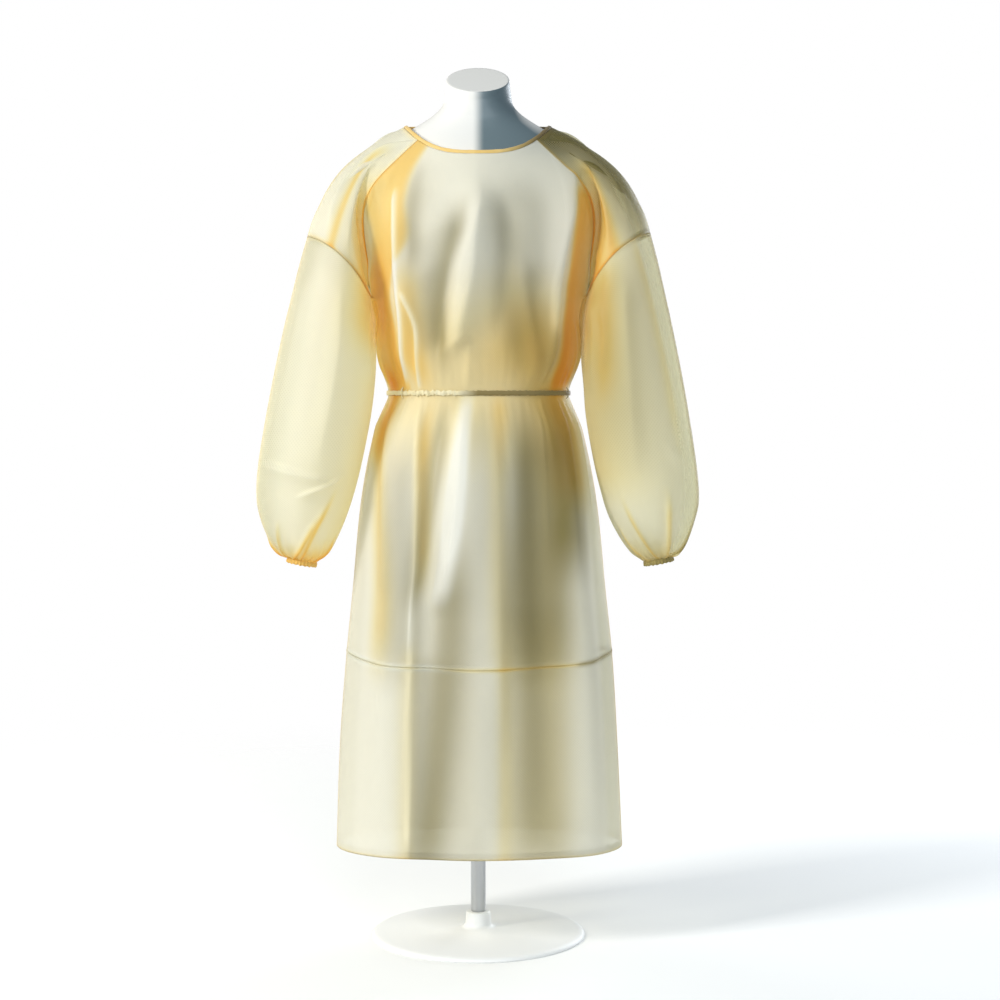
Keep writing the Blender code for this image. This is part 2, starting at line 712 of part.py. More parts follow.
def belt_point(degrees, rise, out):
    """Point beside the waist, outside whichever flap lies there."""
    angle = math.radians(degrees)
    lift = flap_lift(degrees, BELT_Z) * (1.0 - smoothstep((degrees - 212.0) / 24.0))
    return body_point(angle, BELT_Z + rise) + radial(angle) * (lift + out)


def build_belt(trim):
    """Belt round the waist, its loops, and its knot and ends behind."""
    steps = belt_steps()
    out = CLOTH / 2 + BELT_CLEARANCE + BELT_THICKNESS / 2

    def belt(column, row):
        return belt_point(steps[column % len(steps)], (row - 0.5) * BELT_HEIGHT, out)

    add_sheet("waist_belt", len(steps), 1, belt, BELT_THICKNESS, trim, closed=True)
    for word, degrees in (("left", LEFT_LOOP_DEGREES), ("right", RIGHT_LOOP_DEGREES)):
        build_loop(word, degrees, trim)
    degrees = BELT_KNOT_DEGREES
    surface = belt_point(degrees, 0.0, out + BELT_THICKNESS / 2)
    add_knot("belt_knot", surface, radial(math.radians(degrees)), trim)
    for word, first, last in (("left", 3.0, 10.0), ("right", -3.0, -8.0)):
        name = f"belt_end_{word}"
        build_tie(name, degrees, first, last, BELT_END_Z, BELT_END_LENGTH, BELT_HEIGHT, trim)


def build_loop(word, degrees, trim):
    """Thread loop that holds the belt: up, over its outside and back to the cloth."""
    stands = [LOOP_FOOT, LOOP_STAND, LOOP_STAND, LOOP_FOOT]
    rises = [-LOOP_HEIGHT / 2, -LOOP_HEIGHT * 0.32, LOOP_HEIGHT * 0.32, LOOP_HEIGHT / 2]

    def loop(column, row):
        angle = math.radians(degrees)
        out = radial(angle)
        across = Vector((-out.y, out.x, 0.0)) * LOOP_WIDTH * (column - 0.5)
        return belt_point(degrees, rises[row], stands[row]) + across

    add_sheet(f"belt_loop_{word}", 1, 3, loop, LOOP_WALL, trim)


# ---------------------------------------------------------------- the dress form


def form_point(section, k):
    """Point of a form section, with the neck's cut sloping down to the front."""
    roundness = smoothstep((section.z - FORM_ROUND_Z) / FORM_BLEND)
    angle = 2 * math.pi * k / FORM_COLUMNS
    side, ahead = math.sin(angle), math.cos(angle)
    depth = section.front if ahead >= 0.0 else section.back
    fullness = 1.0 + FORM_BOXINESS * (1.0 - roundness) * side * side
    y = -depth * ahead * fullness
    slope = NECK_CUT_SLOPE * smoothstep((section.z - NECK_CUT_START_Z) / FORM_BLEND)
    return Vector((section.side * side, y, section.z + slope * y))


def build_torso(finish):
    """Smooth closed torso with capped shoulders and a cut neck."""
    bm = bmesh.new()
    rings = []
    for section in FORM_SECTIONS:
        rings.append([bm.verts.new(form_point(section, k)) for k in range(FORM_COLUMNS)])
    for low, high in zip(rings, rings[1:]):
        for k in range(FORM_COLUMNS):
            after = (k + 1) % FORM_COLUMNS
            bm.faces.new((low[k], low[after], high[after], high[k]))
    bm.faces.new(rings[0])
    bm.faces.new(rings[-1])
    bmesh.ops.recalc_face_normals(bm, faces=bm.faces)
    add_object("form_torso", bm, finish)


def build_stand(metal, painted):
    """Collar under the torso, pole and round base."""
    top = FORM_BOTTOM_Z - SEAM_GAP
    add_cylinder("form_collar", COLLAR_RADIUS, top - COLLAR_HEIGHT, top, metal)
    pole_top = top - COLLAR_HEIGHT - SEAM_GAP
    add_cylinder("form_pole", POLE_RADIUS, BASE_SOCKET_HEIGHT + SEAM_GAP, pole_top, metal)
    bm = bmesh.new()
    profile = [
        (0.0, BASE_SOCKET_HEIGHT),
        (POLE_RADIUS + 0.006, BASE_SOCKET_HEIGHT),
        (POLE_RADIUS + 0.008, BASE_SOCKET_HEIGHT - 0.002),
        (POLE_RADIUS + 0.010, BASE_HEIGHT + 0.006),
        (POLE_RADIUS + 0.020, BASE_HEIGHT + 0.001),
        (BASE_RADIUS - 0.012, BASE_HEIGHT - 0.004),
        (BASE_RADIUS - 0.003, BASE_HEIGHT - 0.006),
        (BASE_RADIUS, BASE_HEIGHT - 0.009),
        (BASE_RADIUS, 0.001),
        (BASE_RADIUS - 0.001, 0.0),
        (0.0, 0.0),
    ]
    verts = [bm.verts.new((radius, 0.0, z)) for radius, z in profile]
    for first, second in zip(verts, verts[1:]):
        bm.edges.new((first, second))
    base = add_object("form_base", bm, painted)
    turned = base.modifiers.new("turned", "SCREW")
    turned.steps = 64
    turned.render_steps = 64
    turned.use_merge_vertices = True
    turned.merge_threshold = 0.00005


def main():
    cloth = material("yellow nonwoven cloth", "#EFE6BE", 0.62)
    tape = material("golden binding tape", "#E5B84C", 0.55)
    elastic = material("golden elastic casing", "#DDA846", 0.60)
    belt = material("cream tie cloth", "#E9DFB8", 0.60)
    shell = material("white form shell", "#F1F1ED", 0.35)
    metal = material("brushed steel", "#B9BBBD", 0.30, 1.0)
    painted = material("white powder coat", "#EDEDEA", 0.45)
    for panel in (FRONT, BACK_RIGHT, BACK_LEFT):
        build_panel(panel, cloth)
    build_arm(1.0, "right", RIGHT_SLEEVE, cloth, elastic)
    build_arm(-1.0, "left", LEFT_SLEEVE, cloth, elastic)
    build_neck(tape)
    build_belt(belt)
    build_torso(shell)
    build_stand(metal, painted)


for old in list(bpy.data.objects):
    bpy.data.objects.remove(old)
PARTS = bpy.data.collections.new("isolation gown on form stand")
bpy.context.scene.collection.children.link(PARTS)
main()
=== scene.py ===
"""Looks of an isolation gown on a limbless dress form stand.

Metres, +Z up, and the front faces -Y. Left and right are as seen from the front.
"""

import logging
import math
from dataclasses import dataclass
from enum import Enum
from functools import partial
from typing import Any, Callable, Sequence

import bmesh
import bpy
import numpy as np
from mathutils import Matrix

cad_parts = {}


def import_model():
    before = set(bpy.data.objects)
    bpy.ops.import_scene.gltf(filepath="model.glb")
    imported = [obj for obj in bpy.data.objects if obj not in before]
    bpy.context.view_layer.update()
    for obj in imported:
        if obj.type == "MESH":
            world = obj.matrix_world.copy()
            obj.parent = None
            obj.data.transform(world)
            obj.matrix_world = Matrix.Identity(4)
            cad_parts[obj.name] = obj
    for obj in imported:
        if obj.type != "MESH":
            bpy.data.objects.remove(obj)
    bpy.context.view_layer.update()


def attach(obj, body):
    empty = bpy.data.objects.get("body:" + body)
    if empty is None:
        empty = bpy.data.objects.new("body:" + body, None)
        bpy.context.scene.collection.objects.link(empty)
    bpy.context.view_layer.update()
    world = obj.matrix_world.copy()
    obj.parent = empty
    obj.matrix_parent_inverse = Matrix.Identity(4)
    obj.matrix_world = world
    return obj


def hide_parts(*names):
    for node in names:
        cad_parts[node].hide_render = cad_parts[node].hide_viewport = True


LOG = logging.getLogger("gown")
ROOT = "root"

Array = np.ndarray
Surface = Callable[[Array, Array], Array]

# ---------------------------------------------------------------- curves and tables


def smoothstep(value: Array) -> Array:
    """Ease from 0 to 1, flat outside that range."""
    eased = np.clip(value, 0.0, 1.0)
    return eased * eased * (3.0 - 2.0 * eased)


def lerp(start: Any, end: Any, part: Any) -> Any:
    """Straight blend from start to end."""
    return start + (end - start) * part


def bell(value: Array) -> Array:
    """Soft hump of height 1 round 0."""
    return np.exp(-(value**2))


def unit(vectors: Array) -> Array:
    """Vectors scaled to length 1."""
    return vectors / np.linalg.norm(vectors, axis=-1, keepdims=True)


def hermite(start: Array, leave: Array, end: Array, arrive: Array, part: Array) -> Array:
    """Point on a smooth curve between two points, with a given direction at each.

    Args:
        start: first point or table row.
        leave: direction there, as long as the whole curve.
        end: last point or table row.
        arrive: direction there.
        part: place along the curve, 0 to 1, one for each point.

    Returns:
        The points.
    """
    part = np.asarray(part)[..., None]
    square = part * part
    cube = square * part
    return (
        start * (2 * cube - 3 * square + 1)
        + leave * (cube - 2 * square + part)
        + end * (3 * square - 2 * cube)
        + arrive * (cube - square)
    )


def table_curve(places: Array, rows: Array, spot: Array) -> Array:
    """Rows of a table read at places between its own, on smooth curves.

    Args:
        places: place of each row, rising.
        rows: the table, one line for each place.
        spot: where to read it.

    Returns:
        One line of the table for each spot.
    """
    last = len(places) - 1
    low = np.clip(np.searchsorted(places, spot) - 1, 0, last - 1)
    high = low + 1
    before = np.maximum(low - 1, 0)
    after = np.minimum(high + 1, last)
    span = places[high] - places[low]
    leave_slope = span / (places[high] - places[before])
    arrive_slope = span / (places[after] - places[low])
    return hermite(
        rows[low],
        (rows[high] - rows[before]) * leave_slope[..., None],
        rows[high],
        (rows[after] - rows[low]) * arrive_slope[..., None],
        (spot - places[low]) / span,
    )


@dataclass(frozen=True)
class Fold:
    """Soft ridge, or trough where its height is negative, that runs over a surface.

    The path gives the crest as (along, across) pairs in the surface's own two measures. The two
    widths are in the across measure, one for each side of the crest, and power sharpens or
    flattens it. Each end fades over a part of the whole length.
    """

    name: str
    path: Sequence[tuple[float, float]]
    before: float
    after: float
    height: float
    power: float = 2.0
    fade: float = 0.22
    period: float = 0.0

    def lift(self, along: Array, across: Array) -> Array:
        """How far the fold moves each point out of the surface."""
        table = np.array(self.path, dtype=float)
        places, crests = table[:, 0], table[:, 1:]
        inside = np.clip(along, places[0], places[-1])
        crest = table_curve(places, crests, inside)[..., 0]
        away = across - crest
        if self.period:
            away = (away + self.period / 2) % self.period - self.period / 2
        part = (along - places[0]) / (places[-1] - places[0])
        width = np.where(away < 0.0, self.before, self.after)
        profile = np.exp(-(np.abs(away / width) ** self.power))
        return self.height * profile * smoothstep(np.minimum(part, 1.0 - part) / self.fade)


def folds(*rows: Any, period: float = 0.0) -> list[Fold]:
    """Folds from rows of name, path, two widths, height and, where they aren't plain, power and fade."""
    return [Fold(*row, period=period) for row in rows]


def add_lifts(bands: Sequence[Fold], along: Array, across: Array, start: float | Array = 0.0) -> Array:
    """What a list of folds adds to a start value at each place."""
    total = start + np.zeros_like(along)
    for band in bands:
        total = total + band.lift(along, across)
    return total


def turned(degrees: Array) -> Array:
    """Degrees from -180 to 180."""
    return (degrees + 180.0) % 360.0 - 180.0


# ---------------------------------------------------------------- the gown's measures


@dataclass(frozen=True)
class GownSizes:
    """Driving sizes of the gown, as its pattern has them."""

    cloth: float = 0.0012
    shell: float = 0.0005
    flap_lift: float = 0.0030
    hem_z: float = 0.155
    band_seam_z: float = 0.467
    band_seam_rise: float = 0.018
    belt_z: float = 0.916
    belt_height: float = 0.0085
    belt_thickness: float = 0.0020
    belt_clearance: float = 0.0006
    belt_gather: float = 0.012
    underarm_z: float = 1.091
    boxiness: float = 0.20
    neck_half_width: float = 0.123
    neck_front_y: float = 0.094
    neck_back_y: float = 0.068
    neck_front_z: float = 1.303
    neck_side_z: float = 1.356
    neck_back_z: float = 1.366
    raglan_turn: float = 38.0
    raglan_roundness: float = 0.85
    turning: float = 0.0045
    turning_gap: float = 0.0007
    hem_turning: float = 0.011


SIZES = GownSizes()

# Half sizes of the body's horizontal sections: z, left, right, front, back.
BODY_SECTIONS = np.array(
    [
        (0.155, 0.2390, 0.2430, 0.128, 0.118), (0.331, 0.2325, 0.2345, 0.124, 0.116),
        (0.475, 0.2215, 0.2255, 0.120, 0.113), (0.585, 0.2105, 0.2140, 0.117, 0.110),
        (0.737, 0.1955, 0.1980, 0.113, 0.108), (0.854, 0.1720, 0.1735, 0.104, 0.101),
        (0.905, 0.1510, 0.1530, 0.095, 0.092), (0.927, 0.1510, 0.1530, 0.095, 0.092),
        (0.977, 0.1683, 0.1708, 0.107, 0.102), (1.040, 0.1715, 0.1750, 0.116, 0.107),
        (1.091, 0.1740, 0.1780, 0.121, 0.110),
    ]
)

# Large folds of the body: z and degrees round from centre front along each crest.
BODY_FOLDS = folds(
    ("left underarm swell", ((1.035, -84), (1.14, -84)), 12, 12, 0.0058, 2, 0.4),
    ("right underarm swell", ((1.035, 84), (1.14, 84)), 12, 12, 0.0058, 2, 0.4),
    ("skirt middle ridge", ((0.1, 1), (0.93, -3)), 12, 12, 0.013),
    ("skirt left trough", ((0.1, -20), (0.9, -24)), 7.5, 7.5, -0.01),
    ("skirt left ridge", ((0.1, -39), (0.92, -44)), 9, 9, 0.006),
    ("skirt right trough", ((0.1, 30), (0.93, 30)), 10, 10, -0.011),
    ("skirt right ridge", ((0.1, 52), (0.9, 52)), 9, 9, 0.008),
    ("bodice long ridge", ((0.96, -14), (1.28, 1)), 9, 9, 0.011),
    ("bodice left trough", ((0.95, -26), (1.19, -19)), 8, 8, -0.007),
    ("bodice left ridge", ((0.93, -46), (1.22, -43)), 7, 7, 0.006),
    ("bodice right ridge", ((0.93, 43), (1.26, 50)), 9, 9, 0.008),
) + folds(
    ("back skirt left ridge", ((0.1, 214), (0.9, 206)), 11, 11, 0.01),
    ("back skirt right ridge", ((0.1, 146), (0.9, 153)), 12, 12, 0.012),
    ("back skirt trough", ((0.1, 180), (0.88, 178)), 10, 10, -0.007),
    ("back skirt side ridge", ((0.1, 242), (0.86, 236)), 9, 9, 0.007),
    ("back bodice left ridge", ((0.94, 205), (1.22, 214)), 10, 10, 0.008),
    ("back bodice right ridge", ((0.94, 152), (1.24, 146)), 10, 10, 0.008),
    ("back bodice trough", ((0.95, 178), (1.16, 180)), 9, 9, -0.005),
    period=360,
)

# Crests that more than one table follows.
LEFT_EDGE_LINE = ((0.918, -50.6), (0.983, -45.4), (1.042, -46), (1.091, -48), (1.163, -43.6), (1.255, -46))
LEFT_SHORT_LINE = ((0.918, -39.8), (0.97, -36.2), (1.016, -35.8), (1.047, -39), (1.085, -45.5))
SKIRT_LEFT_LINE = (
    (0.16, -29), (0.473, -30.2), (0.592, -31.2), (0.742, -31.4), (0.843, -34.2), (0.912, -38),
)
SKIRT_BRIGHT_LINE = ((0.56, -17), (0.65, -12.5), (0.75, -9.5), (0.85, -7.5), (0.93, -5.5))

# Creases that lie on the large folds, in the same measures.
BODY_CREASES = folds(
    ("bodice crest", ((0.965, -13.5), (1.049, -6.2), (1.113, -1.8), (1.176, -0.5), (1.255, 3.5)),
        4.6, 13, 0.0085, 1.5, 0.16),
    ("bodice hollow", ((0.955, -24), (1.01, -21.2), (1.082, -16.2), (1.161, -10.8), (1.235, -7.5)),
        4.5, 4, -0.005, 2, 0.25),
    ("waist band crest", ((0.915, -6.5), (0.955, -5.2), (1, -3.6)), 3, 8, 0.0042, 1.4),
    ("left edge crease", LEFT_EDGE_LINE, 1.3, 3.4, 0.0034, 1.2, 0.1),
    ("left short crease", LEFT_SHORT_LINE, 1.2, 3.2, 0.0036, 1.2, 0.14),
    ("right edge crease", ((0.918, 42), (0.968, 43), (1.067, 45.2),
        (1.14, 45.2), (1.192, 47.5), (1.29, 57.5)), 8, 2.4, 0.0062, 1.5, 0.1),
    ("right soft ridge", ((0.918, 37), (1.034, 28.2), (1.15, 20.5)), 4.5, 5, 0.0042),
    ("right soft trough", ((0.99, 11.5), (1.129, 15.2), (1.25, 17)), 6, 6, -0.005),
    ("yoke soft trough", ((1.1, -30), (1.19, -31), (1.275, -33)), 6, 6, -0.0026),
    ("skirt bright crest", ((0.545, -19.5), (0.629, -13), (0.711, -9.8), (0.824, -7.8), (0.912, -5.8)),
        6, 13, 0.0088, 1.5, 0.14),
    ("skirt bright hollow", ((0.56, -33), (0.64, -30), (0.72, -26.5), (0.824, -22), (0.905, -17)),
        4, 4, -0.0052, 2, 0.25),
    ("skirt left line", SKIRT_LEFT_LINE, 0.9, 2, 0.0024, 1.2, 0.05),
    ("skirt left light fold", ((0.56, -45), (0.708, -49.2), (0.79, -54), (0.855, -56.8), (0.91, -57)),
        4, 4.6, 0.005, 2, 0.2),
    ("skirt middle edge", ((0.3, 9), (0.483, 9.2), (0.743, 9.5), (0.908, 9.8)), 12, 3.2, 0.005, 1.6),
    ("skirt thin crease", ((0.64, 35), (0.791, 36.8), (0.912, 39)), 0.7, 1.1, 0.0013, 1.3),
    ("skirt olive ridge", ((0.6, 48.2), (0.741, 50), (0.905, 58)), 5, 3.5, 0.004),
    ("skirt far crease", ((0.7, 68), (0.8, 71), (0.908, 77)), 2, 3, 0.003, 1.5),
    ("skirt left far crease", ((0.69, -71), (0.8, -74), (0.908, -80)), 3, 2, 0.0032, 1.5),
    ("band middle ridge", ((0.15, 3), (0.33, 2.2), (0.48, 1.5)), 7, 7, 0.004),
    ("right underarm crease", ((0.93, 82), (0.985, 77), (1.05, 67)), 1.8, 2.6, 0.0036, 1.4),
    ("right underarm second crease", ((0.925, 73), (0.99, 69), (1.04, 62)), 1.6, 2, 0.0026, 1.4),
    ("left underarm crease", ((0.93, -78), (1, -73), (1.06, -66)), 2.6, 1.8, 0.0034, 1.4),
) + folds(
    ("back crest left", ((0.96, 196), (1.06, 203), (1.2, 216)), 5, 10, 0.006, 1.5),
    ("back crest right", ((0.95, 160), (1.08, 154), (1.22, 146)), 9, 4.5, 0.0062, 1.5),
    ("back side crease", ((0.935, 118), (1.04, 112), (1.15, 116)), 2.4, 3.4, 0.0038, 1.4),
    ("back far crease", ((0.935, 240), (1.04, 246), (1.14, 242)), 3.2, 2.4, 0.0036, 1.4),
    ("back skirt crest left", ((0.42, 222), (0.64, 216), (0.905, 204)), 5, 11, 0.0072, 1.5),
    ("back skirt crest right", ((0.35, 140), (0.62, 147), (0.905, 158)), 11, 5, 0.007, 1.5),
    ("back skirt line", ((0.3, 122), (0.62, 120), (0.908, 112)), 1.6, 2.6, 0.003, 1.3),
    ("back skirt short fold", ((0.6, 256), (0.76, 251), (0.908, 240)), 3, 4, 0.0044),
    ("back skirt low fold", ((0.15, 184), (0.33, 186), (0.56, 182)), 8, 8, 0.0055),
    period=360,
)

# Folds that run round the body: degrees and z along each crest, widths in metres.
CROSS_FOLDS = folds(
    ("crest's end", ((-24, 0.976), (-19.8, 0.983), (-12, 0.998), (-3, 1.006)),
        0.01, 0.007, 0.0042, 1.6, 0.3),
    ("bust line left", ((-44, 1.118), (-30, 1.112), (-16, 1.122)), 0.02, 0.03, 0.0022, 2, 0.4),
    ("bust line right", ((8, 1.112), (24, 1.106), (40, 1.118)), 0.022, 0.03, 0.0024, 2, 0.4),
    ("back fold", ((150, 1.012), (166, 1), (184, 1.01)), 0.01, 0.012, 0.0036, 1.8, 0.3),
)


def radial(degrees: Array) -> Array:
    """Unit vectors straight out from the body's middle line."""
    angle = np.radians(degrees)
    return np.stack([np.sin(angle), -np.cos(angle), np.zeros_like(angle)], axis=-1)


class WaistGathers:
    """Small uneven pleats that the belt draws into the cloth, above and below it."""

    def __init__(self, count: int = 66, seed: int = 5) -> None:
        """Choose the pleats.

        Args:
            count: how many lie round the waist.
            seed: start of the random draws, the same each run.
        """
        draw = np.random.default_rng(seed)
        spacing = 360.0 / count
        self.degrees = np.arange(count) * spacing + draw.uniform(-0.34, 0.34, count) * spacing
        self.width = draw.uniform(1.0, 2.1, count)
        self.drift = draw.uniform(-26.0, 26.0, count)
        self.up = draw.uniform(0.018, 0.060, count)
        self.down = draw.uniform(0.022, 0.085, count)
        side = np.abs(np.sin(np.radians(self.degrees)))
        self.height = draw.uniform(0.0007, 0.0021, count) * lerp(0.55, 1.25, side)

    def lift(self, degrees: Array, z: Array) -> Array:
        """How far the pleats move each point of the cloth."""
        total = np.zeros_like(z)
        above = z - SIZES.belt_z
        near = np.abs(above) < 0.2
        here, rise = degrees[near], above[near]
        pinch = 1.0 - bell(rise / SIZES.belt_gather)
        found = np.zeros_like(rise)
        for k in range(len(self.degrees)):
            reach = np.where(rise > 0.0, self.up[k], self.down[k])
            away = here - self.degrees[k] - self.drift[k] * rise
            pleat = bell(turned(away) / self.width[k])
            found += self.height[k] * pleat * np.exp(-np.abs(rise) / reach)
        total[near] = found * pinch
        return total


class Body:
    """The gown's body as one surface, from the hem to the neckline."""

    def __init__(self, sizes: GownSizes) -> None:
        """Keep the sizes and the gathers."""
        self.sizes = sizes
        self.gathers = WaistGathers()

    def section(self, degrees: Array, z: Array) -> Array:
        """Points of the horizontal sections, with no folds."""
        table = table_curve(BODY_SECTIONS[:, 0], BODY_SECTIONS[:, 1:], z)
        angle = np.radians(degrees)
        side, ahead = np.sin(angle), np.cos(angle)
        half_width = np.where(side >= 0.0, table[..., 1], table[..., 0])
        half_depth = np.where(ahead >= 0.0, table[..., 2], table[..., 3])
        fullness = 1.0 + self.sizes.boxiness * side * side
        return np.stack([half_width * side, -half_depth * ahead * fullness, z], axis=-1)

    def neckline(self, degrees: Array) -> Array:
        """Points of the neck's edge."""
        size = self.sizes
        angle = np.radians(degrees)
        side, ahead = np.sin(angle), np.cos(angle)
        front_z = lerp(size.neck_front_z, size.neck_side_z, np.abs(side) ** 3)
        back_z = lerp(size.neck_back_z, size.neck_side_z, side * side)
        depth = np.where(ahead >= 0.0, size.neck_front_y, size.neck_back_y)
        z = np.where(ahead >= 0.0, front_z, back_z)
        return np.stack([size.neck_half_width * side, -depth * ahead, z], axis=-1)

    def neckline_direction(self, degrees: Array) -> Array:
        """Direction in which the cloth runs up to the neck's edge."""
        angle = np.radians(degrees)
        side, ahead = np.sin(angle)[..., None], np.cos(angle)[..., None]
        front, back = np.array((0.0, 0.10, 0.20)), np.array((0.0, -0.17, 0.16))
        middle = np.where(ahead >= 0.0, front, back)
        shoulder = np.concatenate([-0.35 * side, 0.0 * side, 0.16 + 0.0 * side], axis=-1)
        return shoulder * np.abs(side) + middle * ahead * ahead

    def smooth_point(self, degrees: Array, height: Array) -> Array:
        """Points without folds. Above the underarm, height runs on to 1 m more at the neck."""
        size = self.sizes
        low = self.section(degrees, np.minimum(height, size.underarm_z))
        angle = np.radians(degrees)
        side, ahead = np.sin(angle), np.cos(angle)
        spread = np.stack([0.10 * side, -0.04 * ahead, lerp(0.24, 0.50, side * side)], axis=-1)
        climb = np.maximum(height - size.underarm_z, 0.0)
        end = self.neckline(degrees)
        high = hermite(low, spread, end, self.neckline_direction(degrees), climb)
        return np.where((height > size.underarm_z)[..., None], high, low)

    def point(self, degrees: Array, height: Array) -> Array:
        """Points of the cloth, with its folds, creases and gathers."""
        degrees, height = np.broadcast_arrays(degrees, height)
        smooth = self.smooth_point(degrees, height)
        z = smooth[..., 2]
        wrapped = turned(degrees)
        fine = self.gathers.lift(degrees, z)
        for fold in BODY_CREASES:
            fine = fine + fold.lift(z, degrees if fold.period else wrapped)
        for fold in CROSS_FOLDS:
            around = degrees if fold.path[0][0] > 90.0 else wrapped
            fine = fine + fold.lift(around, z)
        pinch = 1.0 - bell((z - self.sizes.belt_z) / self.sizes.belt_gather)
        near_neck = smoothstep((self.sizes.underarm_z + 1.0 - height) / 0.12)
        total = fine * pinch * near_neck
        for fold in BODY_FOLDS:
            total = total + fold.lift(z, degrees if fold.period else wrapped)
        return smooth + radial(degrees) * total[..., None]

    def raglan(self, part: Array) -> Array:
        """Degrees from the side to the raglan seam, from 0 at the underarm to the neck."""
        turn = np.sin(np.clip(part, 0.0, 1.0) * math.pi / 2) ** self.sizes.raglan_roundness
        return self.sizes.raglan_turn * turn

    def seam_height(self, degrees: Array) -> Array:
        """Height of the lower band's seam."""
        return self.sizes.band_seam_z + self.sizes.band_seam_rise * np.sin(np.radians(degrees)) ** 4

    def over_underarm(self, height: Array) -> Array:
        """0 below the underarm, then up to 1 at the neck."""
        return np.maximum(height - self.sizes.underarm_z, 0.0)

    def upper_edge(self, height: Array) -> Array:
        """Degrees round to the free edge of the upper back flap."""
        return lerp(208.0, 199.0, smoothstep(self.over_underarm(height)))

    def under_edge(self, height: Array) -> Array:
        """Degrees round to the free edge of the under back flap."""
        below = lerp(130.0, 140.0, smoothstep((height - self.sizes.belt_z) / 0.2))
        return below + 21.0 * smoothstep(self.over_underarm(height))

    def flap_lift(self, degrees: Array, height: Array) -> Array:
        """How far the upper back flap lies outside the under flap."""
        start = (degrees - self.under_edge(height) + 24.0) / 20.0
        return self.sizes.flap_lift * smoothstep(start)

    def normal(self, degrees: Array, height: Array) -> Array:
        """Unit vectors out of the smooth body."""
        around = self.smooth_point(degrees + 1.0, height) - self.smooth_point(degrees - 1.0, height)
        up = self.smooth_point(degrees, height + 0.01) - self.smooth_point(degrees, height - 0.01)
        return unit(np.cross(around, up))


# ---------------------------------------------------------------- mesh building


@dataclass(frozen=True)
class Stops:
    """Places of a grid's lines between two seams, and how far each line is turned under."""

    places: Array
    under: Array

    @staticmethod
    def spaced(count: int, turned: tuple[float, float] = (0.0, 0.0), ease: float = 0.0) -> "Stops":
        """Even lines, closer together at the ends, with the cloth turned under past each seam.

        Args:
            count: spaces between the two seams.
            turned: width of the turning at the start and at the end, as parts of the whole.
            ease: 0 for even lines, towards 1 for closer ones at the ends.

        Returns:
            The stops.
        """
        even = np.linspace(0.0, 1.0, count + 1)
        places = even - ease * np.sin(2 * math.pi * even) / (2 * math.pi)
        under = np.zeros_like(places)
        steps = np.array((1.0, 0.62, 0.12))
        if turned[0]:
            places = np.concatenate([steps * turned[0], places])
            under = np.concatenate([np.ones(3), under])
        if turned[1]:
            places = np.concatenate([places, 1.0 - steps[::-1] * turned[1]])
            under = np.concatenate([under, np.ones(3)])
        return Stops(places, under)

    @property
    def spaces(self) -> int:
        """Number of spaces in the grid."""
        return len(self.places) - 1


class Trim(Enum):
    """How a grid's surface closes on itself."""

    OPEN = "open"
    ROUND = "round"


@dataclass
class GridMesh:
    """A mesh made from a grid whose vertices are moved to their places on a surface."""

    name: str
    surface: Surface
    across: Stops
    along: Stops
    outward: float = 1.0
    trim: Trim = Trim.OPEN
    chart: tuple[float, float] = (1.0, 1.0)
    tones: Surface | None = None
    face_chart: bool = False

    def points(self, u: Array, v: Array) -> Array:
        """Points of the surface, with what is turned under moved inside it."""
        s, t = self.across.places[u], self.along.places[v]
        under = np.maximum(self.across.under[u], self.along.under[v])
        place = self.surface(s, t)
        turned = under > 0.0
        if turned.any():
            s, t, step = s[turned], t[turned], 0.002
            right = self.surface(s + step, t) - self.surface(s - step, t)
            up = self.surface(s, t + step) - self.surface(s, t - step)
            inward = -unit(np.cross(right, up)) * self.outward
            place[turned] += inward * (under[turned] * (SIZES.turning_gap + SIZES.shell))[:, None]
        return place

    def build(self) -> bpy.types.Object:
        """Make the mesh and its object, with a UV map in metres and the cloth's tones."""
        columns, rows = self.across.spaces, self.along.spaces
        bm = bmesh.new()
        bmesh.ops.create_grid(bm, x_segments=columns, y_segments=rows, size=0.5)
        raw = np.array([vert.co[:2] for vert in bm.verts])
        u = np.rint((raw[:, 0] + 0.5) * columns).astype(int)
        v = np.rint((raw[:, 1] + 0.5) * rows).astype(int)
        places = self.points(u, v)
        chart = np.stack(
            [self.across.places[u] * self.chart[0], self.along.places[v] * self.chart[1]], axis=-1
        )
        if self.face_chart:
            chart = places[:, (0, 2)]
        layer = bm.loops.layers.uv.new("cloth")
        for vert, flat, place in zip(bm.verts, chart, places):
            for loop in vert.link_loops:
                loop[layer].uv = flat
            vert.co = place
        if self.tones:
            layer = bm.verts.layers.float_vector.new("tones")
            amounts = self.tones(self.across.places[u], self.along.places[v])
            for vert, amount in zip(bm.verts, amounts):
                vert[layer] = amount
        if self.trim is Trim.ROUND:
            bmesh.ops.remove_doubles(bm, verts=bm.verts, dist=0.00002)
        if self.outward < 0.0:
            bmesh.ops.reverse_faces(bm, faces=bm.faces)
        return as_object(self.name, bm)


def as_object(name: str, bm: bmesh.types.BMesh) -> bpy.types.Object:
    """Object in the scene, smooth shaded, made from a bmesh."""
    mesh = bpy.data.meshes.new(name)
    bm.to_mesh(mesh)
    bm.free()
    mesh.shade_smooth()
    made = bpy.data.objects.new(name, mesh)
    bpy.context.scene.collection.objects.link(made)
    return made


def face_outward(made: bpy.types.Object) -> bpy.types.Object:
    """Turn the faces of a closed mesh outward."""
    bm = bmesh.new()
    bm.from_mesh(made.data)
    bmesh.ops.recalc_face_normals(bm, faces=bm.faces)
    bm.to_mesh(made.data)
    bm.free()
    return made


